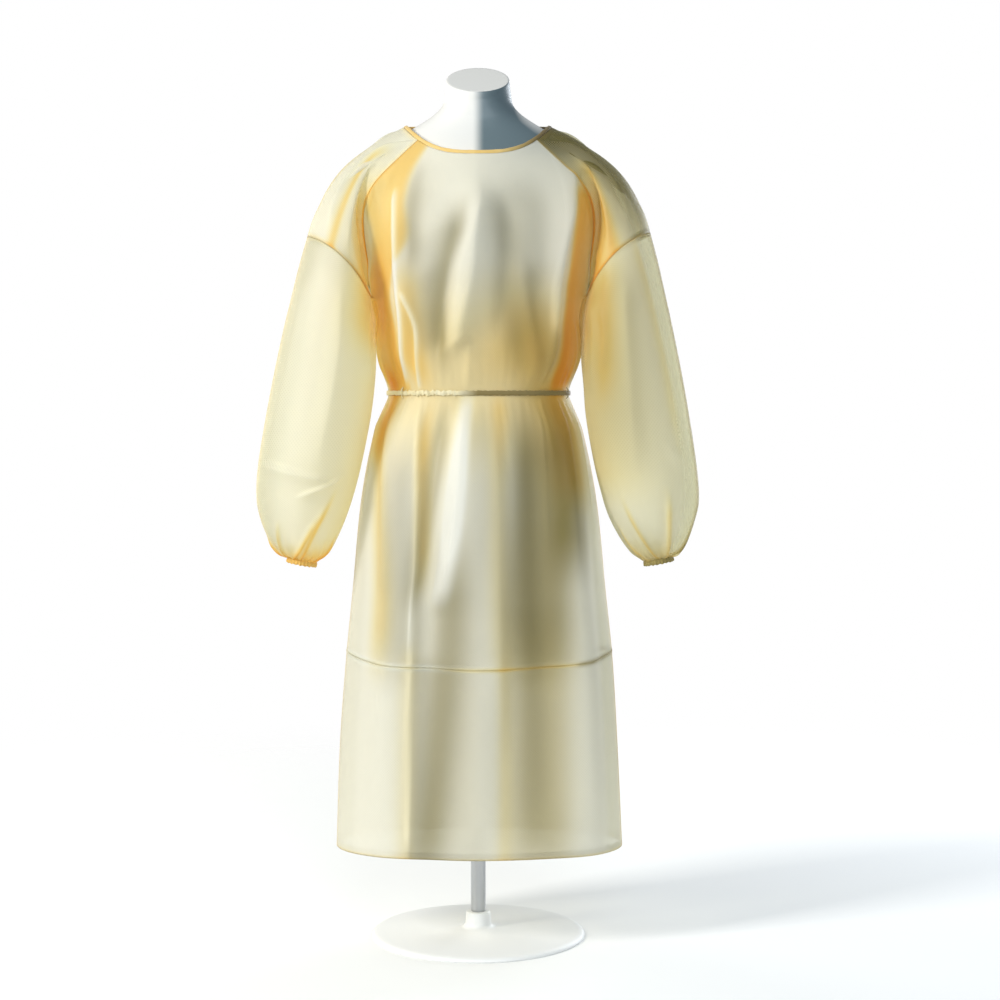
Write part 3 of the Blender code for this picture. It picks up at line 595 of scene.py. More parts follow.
def dress(piece: bpy.types.Object, finish: bpy.types.Material, slot: str, *nodes: str) -> None:
    """Give a piece its material and body, and let it stand for its CAD nodes."""
    piece.data.materials.append(finish)
    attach(piece, ROOT)
    if nodes:
        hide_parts(*nodes)
    LOG.info("%s: %d faces", piece.name, len(piece.data.polygons))


def hang(
    grid: GridMesh, finish: bpy.types.Material, nodes: Sequence[str],
) -> None:
    """Build one piece of the gown's cloth in place of CAD nodes."""
    piece = grid.build()
    wall = piece.modifiers.new("wall", "SOLIDIFY")
    wall.thickness = SIZES.shell
    wall.offset = 0.0
    dress(piece, finish, "gown_cloth", *nodes)


def tape(
    name: str,
    frame: Callable[[Array], tuple[Array, Array, Array]],
    half_width: Callable[[Array], Array],
    half_thickness: Callable[[Array], Array],
    columns: int,
    rows: int = 14,
    ring: bool = False,
) -> bpy.types.Object:
    """Closed band of folded tape, flat-oval in section.

    Args:
        name: the object's name.
        frame: gives the middle line, the direction across it and the direction out, from 0 to 1.
        half_width: half the tape's width along it.
        half_thickness: half its thickness along it.
        columns: steps along it.
        rows: steps round its section.
        ring: whether its end meets its start. Otherwise both ends close.

    Returns:
        The object.
    """

    def surface(s: Array, t: Array) -> Array:
        middle, across, out = frame(s)
        turn = 2 * math.pi * t
        flat = np.sign(np.cos(turn)) * np.abs(np.cos(turn)) ** 0.75
        wide = (half_width(s) * flat)[:, None]
        thick = (half_thickness(s) * np.sin(turn))[:, None]
        if not ring:
            end = np.sqrt(np.clip(np.minimum(s, 1.0 - s) * columns / 1.5, 0.0, 1.0))[:, None]
            wide, thick = wide * end, thick * end
        return middle + across * wide + out * thick

    grid = GridMesh(name, surface, Stops.spaced(columns), Stops.spaced(rows), trim=Trim.ROUND)
    return face_outward(grid.build())


# ---------------------------------------------------------------- finishes


def linear(colour: str) -> tuple[float, float, float, float]:
    """Linear colour from an sRGB hex value."""
    channels = [int(colour[k : k + 2], 16) / 255 for k in (1, 3, 5)]
    made = [c / 12.92 if c <= 0.04045 else ((c + 0.055) / 1.055) ** 2.4 for c in channels]
    return (made[0], made[1], made[2], 1.0)


class Graph:
    """Shader nodes of one material or of the surround."""

    def __init__(self, tree: bpy.types.NodeTree, output: str) -> None:
        """Empty the tree, and give it its output node."""
        tree.nodes.clear()
        self.tree = tree
        self.output = self.add(output)

    def add(self, kind: str, values: dict[Any, Any] | None = None) -> bpy.types.Node:
        """Add a node.

        Args:
            kind: the node's type, without its prefix.
            values: values by the name of a property, or by the name or number of an input. A
                socket is joined to the input, and so is a node's first output.

        Returns:
            The node.
        """
        node = self.tree.nodes.new(f"ShaderNode{kind}")
        for key, value in (values or {}).items():
            if isinstance(value, bpy.types.Node):
                value = value.outputs[0]
            if isinstance(value, bpy.types.NodeSocket):
                self.tree.links.new(value, node.inputs[key])
            elif isinstance(key, str) and hasattr(node, key):
                setattr(node, key, value)
            else:
                node.inputs[key].default_value = value
        return node

    def show(self, shader: bpy.types.Node) -> None:
        """Join the last shader to the output."""
        self.tree.links.new(shader.outputs[0], self.output.inputs["Surface"])


def new_material(name: str) -> tuple[bpy.types.Material, Graph]:
    """Material, and the graph for its nodes."""
    made = bpy.data.materials.new(name)
    made.use_nodes = True
    return made, Graph(made.node_tree, "OutputMaterial")


@dataclass(frozen=True)
class NonwovenFinish:
    """Spunbond nonwoven: thin, translucent, matt with a slight gloss, bonded in a diagonal grid.

    Each point of the cloth carries three tones: how warm it is, from cream over yellow to orange
    where it is doubled or gathered, and partly a painted glow of light that comes through the
    layers; how open it is to the light behind; and how much painted shade darkens it, in its troughs
    and on the side away from the light. Shadow rays pass more light than the eye sees pass, which
    stands for light that is scattered in the cloth. The bond grid is coarser than the real 1.5 mm,
    to show.
    """

    name: str = "spunbond nonwoven"
    colours: tuple[tuple[float, str], ...] = (
        (0.0, "#F4F3EE"), (0.25, "#F4EAC6"), (0.5, "#F6DA8C"), (0.75, "#F7C65C"), (1.0, "#F4AC3C"),
    )
    # Colour of the painted shade, mixed in by the shade tone.
    shade: str = "#8C8034"
    glow: float = 0.38
    bond_pitch: float = 0.0030
    bond_opacity: float = 0.03
    passing: float = 0.26

    def build(self) -> bpy.types.Material:
        """Make the material."""
        made, graph = new_material(self.name)
        chart = graph.add("UVMap", {"uv_map": "cloth"})
        flat = graph.add("SeparateXYZ", {0: chart})
        wave = 2 * math.pi / (self.bond_pitch * math.sqrt(2.0))
        ways = []
        for operation in ("ADD", "SUBTRACT"):
            diagonal = graph.add("Math", {"operation": operation, 0: flat.outputs[0], 1: flat.outputs[1]})
            scaled = graph.add("Math", {"operation": "MULTIPLY", 0: diagonal, 1: wave})
            ways.append(graph.add("Math", {"operation": "SINE", 0: scaled}))
        bonds = graph.add("Math", {"operation": "MAXIMUM", 0: ways[0], 1: ways[1]})
        tones = graph.add("Attribute", {"attribute_name": "tones"})
        warmth, openness, shade = graph.add("SeparateXYZ", {0: tones.outputs["Vector"]}).outputs
        # Warmth colours: partly the cloth's doubling and gathering, partly a painted glow of light through
        # the layers.
        ramp = graph.add("ValToRGB", {"Fac": warmth})
        marks = ramp.color_ramp.elements
        for k, (spot, colour) in enumerate(self.colours):
            mark = marks[k] if k < 2 else marks.new(spot)
            mark.position = spot
            mark.color = linear(colour)
        mixing = {"data_type": "RGBA", "blend_type": "MULTIPLY"}
        # Painted shade: the shade tone multiplies the colour towards the shade colour.
        face = graph.add("Mix", {**mixing, 0: shade, 6: ramp, 7: linear(self.shade)}).outputs[2]
        bump = graph.add("Bump", {"Strength": 0.20, "Distance": 0.0006, "Height": bonds})
        gloss = {"Roughness": 0.44, "IOR": 1.49, "Sheen Weight": 0.2, "Sheen Roughness": 0.4}
        skin = graph.add("BsdfPrincipled", {**gloss, "Base Color": face, "Normal": bump})
        lit = graph.add("BsdfTranslucent", {"Color": face})
        solid = graph.add("MixShader", {0: self.glow, 1: skin, 2: lit})
        shadow_ray = graph.add("LightPath").outputs["Is Shadow Ray"]
        passing = graph.add(
            "Math", {"operation": "MULTIPLY_ADD", 0: shadow_ray, 1: self.passing, 2: openness}
        )
        speckle = graph.add(
            "Math",
            {"operation": "MULTIPLY_ADD", "use_clamp": True, 0: bonds, 1: -self.bond_opacity, 2: passing},
        )
        film = graph.add("BsdfTransparent", {"Color": linear("#F2F2E8")})
        graph.show(graph.add("MixShader", {0: speckle, 1: solid, 2: film}))
        return made


@dataclass(frozen=True)
class FoldedTapeFinish:
    """Nonwoven folded to four layers: opaque, matt, with fine lines along the folds.

    Right of the middle the colours pass into a painted shade, for the side that lies away from the light.
    """

    name: str
    colour: str
    shade: str
    painted_shade_colour: str
    turn_x: tuple[float, float] = (-0.035, 0.0)
    roughness: float = 0.62
    grain: float = 420.0
    blotches: float = 46.0
    glow: float = 0.25

    def build(self) -> bpy.types.Material:
        """Make the material."""
        made, graph = new_material(self.name)
        place = graph.add("TexCoord").outputs["Object"]
        fibres = graph.add(
            "TexNoise", {"Scale": self.grain, "Detail": 3.0, "Roughness": 0.6, "Vector": place}
        )
        blotch = graph.add("TexNoise", {"Scale": self.blotches, "Detail": 2.0, "Vector": place})
        tones = {6: linear(self.shade), 7: linear(self.colour)}
        tone = graph.add("Mix", {"data_type": "RGBA", **tones, 0: blotch}).outputs[2]
        across = graph.add("SeparateXYZ", {0: place})
        first, last = self.turn_x
        # Painted shade on the side away from the light, by Object X.
        painted_shade_mask = graph.add("MapRange", {"From Min": first, "From Max": last, "Value": across})
        painted_shade_tone = linear(self.painted_shade_colour)
        tone = graph.add("Mix", {"data_type": "RGBA", 7: painted_shade_tone, 0: painted_shade_mask, 6: tone}).outputs[2]
        bump = graph.add("Bump", {"Strength": 0.35, "Distance": 0.0004, "Height": fibres})
        gloss = {"Roughness": self.roughness, "Sheen Weight": 0.3, "Sheen Roughness": 0.5}
        skin = graph.add("BsdfPrincipled", {**gloss, "Base Color": tone, "Normal": bump})
        lit = graph.add("BsdfTranslucent", {"Color": tone})
        graph.show(graph.add("MixShader", {0: self.glow, 1: skin, 2: lit}))
        return made


@dataclass(frozen=True)
class HardFinish:
    """Paint, moulded shell or brushed metal: one tone with a fine grain in its gloss.

    The shell's painted shade colour covers what lies above a height and right of the middle, apart from
    surfaces that face up: painted shade on the neck's side away from the light.
    """

    name: str
    colour: str
    roughness: float
    metallic: float = 0.0
    grain: float = 90.0
    stretch: tuple[float, float, float] = (1.0, 1.0, 1.0)
    bump: float = 0.02
    coat: float = 0.0
    painted_shade_colour: str | None = None
    turn_x: tuple[float, float] = (-0.010, 0.012)
    turn_z: tuple[float, float] = (1.294, 1.312)
    turn_facing: tuple[float, float] = (0.80, 0.60)

    def build(self) -> bpy.types.Material:
        """Make the material."""
        made, graph = new_material(self.name)
        place = graph.add("TexCoord")
        turned = graph.add("Mapping", {"Scale": self.stretch, "Vector": place.outputs["Object"]})
        grain = graph.add(
            "TexNoise", {"Scale": self.grain, "Detail": 4.0, "Roughness": 0.6, "Vector": turned}
        )
        low, high = self.roughness - 0.05, self.roughness + 0.07
        gloss = graph.add("MapRange", {"To Min": low, "To Max": high, "Value": grain})
        bump = graph.add("Bump", {"Strength": self.bump, "Distance": 0.001, "Height": grain})
        coat = {"Metallic": self.metallic, "Coat Weight": self.coat, "Coat Roughness": 0.25}
        face = {"Base Color": linear(self.colour), "Roughness": gloss, "Normal": bump}
        skin = graph.add("BsdfPrincipled", {**coat, **face})
        # Painted shade on the neck's right side.
        if self.painted_shade_colour:
            sides = self.painted_shade_side(graph, place, linear(self.painted_shade_colour))
            graph.tree.links.new(sides, skin.inputs["Base Color"])
        graph.show(skin)
        return made

    def painted_shade_side(self, graph: Graph, place: bpy.types.Node, painted_shade_tone: Any) -> bpy.types.NodeSocket:
        """Colour that turns into the painted shade colour."""
        across = graph.add("SeparateXYZ", {0: place.outputs["Object"]})

        def turn(ends: tuple[float, float], value: bpy.types.NodeSocket, ease: str) -> bpy.types.Node:
            limits = {"From Min": ends[0], "From Max": ends[1], "interpolation_type": ease}
            return graph.add("MapRange", {**limits, "Value": value})

        painted_shade_mask = turn(self.turn_x, across.outputs[0], "SMOOTHSTEP")
        high = turn(self.turn_z, across.outputs[2], "LINEAR")
        facing = graph.add("SeparateXYZ", {0: place.outputs["Normal"]})
        upright = turn(self.turn_facing, facing.outputs[2], "LINEAR")
        neck = graph.add("Math", {"operation": "MULTIPLY", 0: upright, 1: high})
        both = graph.add("Math", {"operation": "MULTIPLY", 0: painted_shade_mask, 1: neck})
        tones = {6: linear(self.colour), 7: painted_shade_tone}
        return graph.add("Mix", {"data_type": "RGBA", **tones, 0: both}).outputs[2]


# ---------------------------------------------------------------- the gown's body pieces


@dataclass(frozen=True)
class Tones:
    """Where a piece of cloth is warmer, more open to light and more in shade.

    Each band is a soft Fold whose height is the amount that it adds. Shade bands are painted shade,
    warmth bands are partly a painted glow of light through the layers, and bands with a negative
    height are painted highlights.
    """

    warmth: Sequence[Fold]
    openness: Sequence[Fold]
    shade: Sequence[Fold]

    def at(self, along: Array, across: Array, base: Sequence[Any]) -> Array:
        """The three tones at places of the cloth.

        Args:
            along: the first measure of each band's path.
            across: the second measure.
            base: the three tones that the bands are added to.

        Returns:
            One row of three tones for each place.
        """
        lists = (self.warmth, self.openness, self.shade)
        sums = [add_lifts(bands, along, across, start) for start, bands in zip(base, lists)]
        limits = np.array((1.0, 0.92, 1.0))
        return np.clip(np.stack(sums, axis=-1), 0.0, limits)


# Bands of the body: z and degrees from centre front along each. The back repeats the front. The shade bands
# are painted shade in troughs and on the side away from the light, the warmth bands partly a painted glow of
# light through the layers, and the bands with negative heights painted highlights along bright creases.
BODY_TONES = Tones(
    warmth=folds(
        ("left raglan", ((0.9, -58), (1.003, -60), (1.083, -66), (1.163, -47.5),
            (1.23, -50), (1.31, -52), (1.38, -50)), 18, 11.5, 0.46, 8, 0.08),
        ("left underarm", ((0.97, -66), (1.085, -66), (1.19, -60)), 12, 8, 0.34, 2, 0.4),
        ("left waist line", ((0.9, -34), (0.97, -38), (1.035, -40), (1.15, -40)), 9, 8, 0.28, 2, 0.3),
        ("right side", ((0.9, 60), (1.003, 59), (1.083, 61), (1.182, 58), (1.24, 61), (1.28, 66)),
            8.5, 20, 0.72, 4, 0.12),
        ("middle", ((0.88, 14), (1, 16), (1.083, 16), (1.16, 14)), 16, 24, 0.14, 2, 0.45),
        ("right waist", ((0.84, 43), (0.987, 36), (1.14, 30)), 14, 14, 0.2, 2, 0.5),
        ("waist", ((0.74, 0), (0.9, 0), (1.14, 0)), 80, 80, 0.26, 4, 0.45),
        ("skirt left side", ((0.42, -46), (0.6, -47), (0.755, -55), (0.823, -62), (0.98, -66)),
            8, 7, 0.28, 2.5),
        ("left waist corner", ((0.78, -68), (0.86, -68), (0.98, -68)), 12, 10, 0.34, 2.5, 0.3),
        ("skirt left stripe", ((0.56, -28), (0.695, -28), (0.839, -30), (0.92, -30)), 3.5, 5, 0.32, 2, 0.3),
        ("skirt right side", ((0.7, 52), (0.855, 56), (0.97, 58)), 14, 14, 0.44, 2, 0.3),
        ("skirt middle stripe", ((0.45, 11), (0.647, 9), (0.775, 9.5), (0.93, 14)), 5, 6, 0.17, 2, 0.1),
        ("low middle stripe", ((0.1, 10), (0.3, 10.5), (0.5, 10.5)), 3, 4, 0.16, 2, 0.1),
        ("low left stripe", ((0.1, -29), (0.3, -29), (0.52, -30)), 5, 3, 0.14, 2, 0.1),
        ("skirt right", ((0.4, 27), (0.515, 28), (0.643, 30), (0.775, 34), (0.95, 38)),
            15, 16, 0.12, 3, 0.2),
        ("skirt low right", ((0.08, 25), (0.3, 26), (0.56, 28)), 13, 14, 0.16, 3, 0.3),
        # Painted highlights: negative warmth along bright creases and the skirt's bright band.
        ("left edge crease", LEFT_EDGE_LINE, 0.9, 2, -0.4, 2, 0.08),
        ("left short crease", LEFT_SHORT_LINE, 0.9, 1.8, -0.3, 2, 0.1),
        ("skirt bright band", SKIRT_BRIGHT_LINE, 4.5, 4, -0.22, 3, 0.12),
        ("left edge", ((0.1, -90), (0.92, -90)), 6.5, 6.5, 0.34, 3, 0.02),
        ("right edge", ((0.1, 90), (0.92, 90)), 6.5, 6.5, 0.38, 3, 0.02),
    ),
    openness=folds(
        ("left strip", ((0.08, -70), (0.45, -70), (0.82, -76)), 12, 11, 0.12, 4, 0.12),
        ("right strip", ((0.08, 71), (0.45, 71), (0.82, 76)), 9, 12, 0.26, 4, 0.12),
        ("left raglan", ((0.92, -66), (1.083, -68), (1.3, -52)), 14, 10, 0.3, 2, 0.15),
        ("right raglan", ((0.92, 66), (1.083, 68), (1.3, 66)), 9, 14, 0.26, 2, 0.15),
        ("right bright strip", ((1, 43), (1.083, 44), (1.229, 50), (1.32, 56)), 3.5, 6, 0.06, 3, 0.12),
    ),
    # Painted shade in the troughs and on the right, away from the light.
    shade=folds(
        ("left trough", ((0.93, -19), (1.035, -21), (1.083, -20),
            (1.13, -15.5), (1.177, -10.5), (1.25, -7)), 9, 4.5, 0.58, 2, 0.25),
        ("left chest line", ((1.1, -37), (1.163, -34), (1.23, -36.5), (1.31, -38.5)), 2, 5, 0.2, 2, 0.25),
        ("left chest", ((0.96, -32), (1.083, -36), (1.18, -34), (1.3, -33)), 7, 10, 0.24, 2, 0.25),
        ("middle trough", ((0.93, 22), (1.083, 15), (1.13, 14.5), (1.27, 11)), 7, 9, 0.34, 2, 0.3),
        ("right chest", ((0.9, 34), (1.035, 32), (1.13, 28), (1.29, 28)), 14, 10, 0.24, 2.5, 0.2),
        ("right waist", ((0.84, 51), (0.987, 43), (1.14, 36)), 20, 12, 0.3, 2, 0.5),
        ("skirt right", ((0.42, 27), (0.515, 28), (0.643, 30), (0.775, 34), (0.95, 38)),
            17.5, 17.5, 0.7, 4, 0.28),
        ("skirt right waist", ((0.58, 50), (0.7, 52), (0.8, 56), (0.95, 60)), 12, 10, 0.46, 2.5, 0.3),
        ("skirt low right", ((0.08, 25), (0.3, 26), (0.58, 28)), 13, 16, 0.44, 3, 0.26),
        # Painted highlights: negative shade along bright creases, the bright strip and the bright band.
        ("left edge crease", LEFT_EDGE_LINE, 0.9, 2, -0.3, 2, 0.08),
        ("left short crease", LEFT_SHORT_LINE, 0.9, 1.8, -0.3, 2, 0.1),
        ("skirt left line", SKIRT_LEFT_LINE, 0.8, 1.6, -0.3, 2, 0.05),
        ("right bright strip", ((1, 43), (1.083, 44), (1.229, 50), (1.32, 56)), 3.5, 6, -0.4, 3, 0.12),
        ("skirt bright band", SKIRT_BRIGHT_LINE, 4.5, 4, -0.34, 3, 0.12),
        ("flap edge", ((0.46, -29.4), (0.592, -30.2), (0.742, -30.4), (0.843, -33.2), (0.912, -37)),
            0.7, 5, 0.2, 2, 0.1),
        ("band left edge", ((0.06, -27.5), (0.3, -28), (0.5, -29)), 0.8, 12, 0.26, 2, 0.08),
        ("skirt middle", ((0.08, -3), (0.5, -4), (0.92, 0)), 8, 9, 0.16, 2, 0.1),
        ("skirt left trough", ((0.54, -32), (0.645, -27), (0.745, -22.8), (0.84, -19), (0.92, -18)),
            5, 4, 0.36, 2, 0.2),
        ("skirt low left", ((0.06, -22), (0.25, -17), (0.45, -13.5), (0.6, -12), (0.72, -11)),
            9, 9, 0.52, 2.2),
        ("skirt left", ((0.4, -36), (0.6, -37), (0.75, -42), (0.88, -46)), 11, 9, 0.28, 2.5, 0.25),
    ),
)


@dataclass(frozen=True)
class PanelCut:
    """One panel of the body between two lines round it, with its lower band.

    The panel runs through from the neck to the band, in place of two CAD nodes that are parted
    under the belt.
    """

    name: str
    bodice: str
    skirt: str
    band: str
    start: Callable[[Array], Array]
    end: Callable[[Array], Array]
    columns: int
    free_start: bool = False
    free_end: bool = False
    lifted: bool = False
    flat_width: float = 0.5


class BodyPanels:
    """Front, back flaps and lower bands."""

    rows: int = 206
    band_rows: int = 62
    underarm_share: float = 0.70
    neck_run: float = 0.28
    free_turning: float = 2.4
    fold_share: float = 1.05
    band_share: float = 1.2
    hem_allowance: float = 0.015
    lip_height: float = 0.0008
    lip_width: float = 0.0035
    seam_width: float = 0.0028
    low_seam_width: float = 0.0045

    def __init__(self, body: Body, finish: bpy.types.Material) -> None:
        """Keep the body's surface and the cloth."""
        self.body = body
        self.finish = finish

    def front_edge(self, side: float) -> Callable[[Array], Array]:
        """Degrees of the front's side and raglan seam, for -1 or 1."""
        return lambda height: side * (90.0 - self.body.raglan(self.body.over_underarm(height)))

    def back_edge(self, middle: float, side: float) -> Callable[[Array], Array]:
        """Degrees of a back flap's side and raglan seam, measured on from 90 or 270."""
        return lambda height: middle + side * self.body.raglan(self.body.over_underarm(height))

    def cuts(self) -> list[PanelCut]:
        """The three panels."""
        return [
            PanelCut(
                "front", "front_bodice", "front_skirt", "front_band",
                self.front_edge(-1.0), self.front_edge(1.0), 176, flat_width=0.62,
            ),
            PanelCut(
                "back_right", "back_bodice_right", "back_skirt_right", "back_band_right",
                self.back_edge(90.0, 1.0), self.body.upper_edge, 118,
                free_end=True, lifted=True, flat_width=0.42,
            ),
            PanelCut(
                "back_left", "back_bodice_left", "back_skirt_left", "back_band_left",
                self.body.under_edge, self.back_edge(270.0, -1.0), 132, free_start=True, flat_width=0.48,
            ),
        ]

    def tones(self, degrees: Array, z: Array, edge: Array) -> Array:
        """The cloth's tones. Edge is the distance to the nearest seam, where the cloth is doubled."""
        wrapped = turned(degrees)
        mirrored = np.sign(wrapped) * (90.0 - np.abs(np.abs(wrapped) - 90.0))
        seam = bell(edge / self.seam_width)
        low_seam = bell((z - self.body.seam_height(degrees)) / self.low_seam_width)
        # At the lower seam: a painted highlight on the left, and painted shade on the far right, away from
        # the light.
        warmth = 0.05 + 0.26 * seam - 0.22 * low_seam * (1.0 - smoothstep((wrapped + 22.0) / 16.0))
        far_right = smoothstep((wrapped - 42.0) / 8.0)
        shade = 0.04 + low_seam * lerp(-0.30, 0.40, far_right)
        openness = 0.26 * (1.0 - 0.5 * seam) + 0.34 * low_seam * (1.0 - far_right)
        return BODY_TONES.at(z, mirrored, (warmth, openness, shade))

    def place(self, cut: PanelCut, s: Array, height: Array) -> tuple[Array, Array]:
        """Degrees round and points of a panel at a part of its width and a height."""
        degrees = lerp(cut.start(height), cut.end(height), s)
        points = self.body.point(degrees, height)
        if cut.lifted:
            points = points + radial(degrees) * self.body.flap_lift(degrees, height)[:, None]
        return degrees, points

    def low_degrees(self, cut: PanelCut, s: Array) -> Array:
        """Degrees round of a panel's places below the belt."""
        low = np.full_like(s, self.body.sizes.band_seam_z)
        return lerp(cut.start(low), cut.end(low), s)

    def panel_height(self, cut: PanelCut, s: Array, t: Array) -> Array:
        """Height of a panel's line t between the band seam and the neck."""
        low = self.body.seam_height(self.low_degrees(cut, s))
        under = lerp(low, self.body.sizes.underarm_z, t / self.underarm_share)
        over = self.body.sizes.underarm_z + (t - self.underarm_share) / (1.0 - self.underarm_share)
        return np.where(t <= self.underarm_share, under, over)

    def band_height(self, cut: PanelCut, s: Array, t: Array) -> Array:
        """Height of a lower band's line t between the hem and the band seam."""
        return lerp(self.body.sizes.hem_z, self.body.seam_height(self.low_degrees(cut, s)), t)

    def surface(self, cut: PanelCut, height_of: Callable[..., Array], s: Array, t: Array) -> Array:
        """Points of a panel or a band, with the band seam standing proud."""
        height = height_of(cut, s, t)
        degrees, points = self.place(cut, s, height)
        lip = self.lip_height * bell((height - self.body.seam_height(degrees)) / self.lip_width)
        return points + radial(degrees) * lip[:, None]

    def surface_tones(self, cut: PanelCut, height_of: Callable[..., Array], s: Array, t: Array) -> Array:
        """The cloth's tones on a panel or a band."""
        height = height_of(cut, s, t)
        degrees, points = self.place(cut, s, height)
        sides = np.minimum(s, 1.0 - s) * cut.flat_width
        seam = np.abs(height - self.body.seam_height(degrees))
        hem = height - self.body.sizes.hem_z
        return self.tones(degrees, points[:, 2], np.minimum(sides, np.minimum(seam, hem)))

    def build(self) -> None:
        """Make the panels and their bands."""
        size = self.body.sizes
        length = size.underarm_z - size.band_seam_z + self.neck_run
        depth = size.band_seam_z - size.hem_z
        for cut in self.cuts():
            turning = size.turning / cut.flat_width
            start, end = (self.free_turning if free else 1.0 for free in (cut.free_start, cut.free_end))
            across = Stops.spaced(cut.columns, (turning * start, turning * end), ease=0.3)
            upper = GridMesh(
                f"{cut.name}_cloth", partial(self.surface, cut, self.panel_height), across,
                Stops.spaced(self.rows, (size.turning / length, 0.0), ease=0.35),
                chart=(cut.flat_width, length), tones=partial(self.surface_tones, cut, self.panel_height),
            )
            lower = GridMesh(
                f"{cut.name}_band_cloth", partial(self.surface, cut, self.band_height), across,
                Stops.spaced(self.band_rows, (size.hem_turning / depth, size.turning / depth), ease=0.55),
                chart=(cut.flat_width, depth), tones=partial(self.surface_tones, cut, self.band_height),
            )
            hang(upper, self.finish, (cut.bodice, cut.skirt))
            hang(lower, self.finish, (cut.band,))


# ---------------------------------------------------------------- shoulders, sleeves and cuffs

# Sleeve sections from the upper-arm seam to the wrist: half depth, how far forward, and how far
# front and back are bowed up the arm, the same for both, then outer x and z and inner x and z.
SLEEVE_DEPTHS = (
    (0.078, 0.028, 0.016), (0.080, 0.042, 0.011), (0.081, 0.046, 0.006),
    (0.081, 0.048, 0.002), (0.080, 0.046, 0.000), (0.078, 0.043, 0.000),
    (0.077, 0.038, 0.000), (0.073, 0.034, 0.000), (0.066, 0.031, 0.000),
    (0.053, 0.028, 0.000), (0.037, 0.026, 0.000), (0.023, 0.025, 0.000),
)
RIGHT_EDGES = (
    (0.2849, 1.1798, 0.1800, 1.0777), (0.2961, 1.1326, 0.1732, 1.0485), (0.3073, 1.0827, 0.1707, 1.0127),
    (0.3210, 1.0205, 0.1703, 0.9752), (0.3359, 0.9495, 0.1745, 0.9298), (0.3500, 0.8726, 0.1790, 0.8765),
    (0.3628, 0.7914, 0.1913, 0.8072), (0.3667, 0.7388, 0.2033, 0.7576), (0.3600, 0.7039, 0.2164, 0.7168),
    (0.3494, 0.6750, 0.2354, 0.6819), (0.3367, 0.6560, 0.2553, 0.6560), (0.3239, 0.6470, 0.2762, 0.6380),
)
LEFT_EDGES = (
    (0.2810, 1.1739, 0.1760, 1.0757), (0.2935, 1.1247, 0.1694, 1.0465), (0.3060, 1.0738, 0.1680, 1.0117),
    (0.3195, 1.0185, 0.1672, 0.9732), (0.3345, 0.9515, 0.1700, 0.9298), (0.3500, 0.8745, 0.1770, 0.8765),
    (0.3635, 0.7963, 0.1914, 0.8052), (0.3669, 0.7437, 0.2046, 0.7536), (0.3604, 0.7059, 0.2197, 0.7089),
    (0.3468, 0.6740, 0.2357, 0.6740), (0.3312, 0.6540, 0.2508, 0.6500), (0.3164, 0.6450, 0.2687, 0.6361),
)
RIGHT_SLEEVE, LEFT_SLEEVE = (np.hstack([edges, SLEEVE_DEPTHS]) for edges in (RIGHT_EDGES, LEFT_EDGES))

# Sleeve folds: section number and turn along each crest, widths in turns. Turn 0.25 is the front
# and 0.5 the outer edge.
LEFT_SLEEVE_FOLDS = folds(
    ("front long fold", ((0.6, 0.24), (3, 0.21), (6.5, 0.22)), 0.03, 0.04, 0.005, 1.6),
    ("outer soft fold", ((1, 0.38), (3.5, 0.37), (6, 0.39)), 0.035, 0.03, 0.0045, 1.7),
    ("inner fold", ((0.8, 0.09), (2.2, 0.1), (4.2, 0.07)), 0.022, 0.03, 0.005, 1.5),
    ("back long fold", ((0.6, 0.74), (3, 0.71), (6.5, 0.76)), 0.035, 0.04, 0.006, 1.7),
    ("back outer fold", ((1.5, 0.62), (4, 0.63), (7, 0.6)), 0.03, 0.035, 0.0045, 1.7),
    ("underarm lip", ((-1.2, 0), (0.4, 0), (2.6, 0)), 0.05, 0.05, 0.0058, 2, 0.35),
    period=1,
)
RIGHT_SLEEVE_FOLDS = folds(
    ("front long fold", ((0.8, 0.27), (3, 0.24), (6.5, 0.21)), 0.04, 0.03, 0.0055, 1.6),
    ("outer soft fold", ((0.3, 0.4), (3, 0.4), (6.5, 0.38)), 0.03, 0.035, 0.0045, 1.7),
    ("inner fold", ((0.8, 0.1), (2.4, 0.12), (4.4, 0.08)), 0.024, 0.024, 0.005, 1.5),
    ("inner short fold", ((1.4, 0.16), (2.6, 0.17), (3.8, 0.14)), 0.016, 0.02, 0.003, 1.5),
    ("back long fold", ((0.6, 0.77), (3, 0.74), (6.5, 0.72)), 0.04, 0.035, 0.006, 1.7),
    ("back outer fold", ((1.5, 0.61), (4, 0.62), (7, 0.64)), 0.03, 0.03, 0.0045, 1.7),
    ("underarm lip", ((-1.2, 0), (0.4, 0), (2.6, 0)), 0.05, 0.05, 0.0054, 2, 0.35),
    period=1,
)
# Long pleats above the cuffs, in the same measures.
LEFT_WRIST_PLEATS = [
    ((6.6, 0.13), (8.5, 0.19), (11.6, 0.28)),
    ((7.6, 0.175), (9.5, 0.25), (11.6, 0.36)),
    ((7.8, 0.33), (9.6, 0.37), (11.6, 0.42)),
    ((8.6, 0.06), (10.2, 0.09), (11.6, 0.14)),
    ((8.6, 0.47), (10.2, 0.465), (11.6, 0.46)),
]
RIGHT_WRIST_PLEATS = [
    ((7.0, 0.14), (9.0, 0.19), (11.6, 0.26)),
    ((6.4, 0.30), (8.8, 0.31), (11.6, 0.33)),
    ((8.2, 0.07), (10.0, 0.11), (11.6, 0.17)),
    ((7.6, 0.43), (9.6, 0.42), (11.6, 0.40)),
]


def wrist_folds(paths: Sequence[Any]) -> list[Fold]:
    """Relief of the long pleats above a cuff."""
    return [Fold("wrist pleat", path, 0.010, 0.018, 0.0040, 1.5, 0.3, period=1) for path in paths]


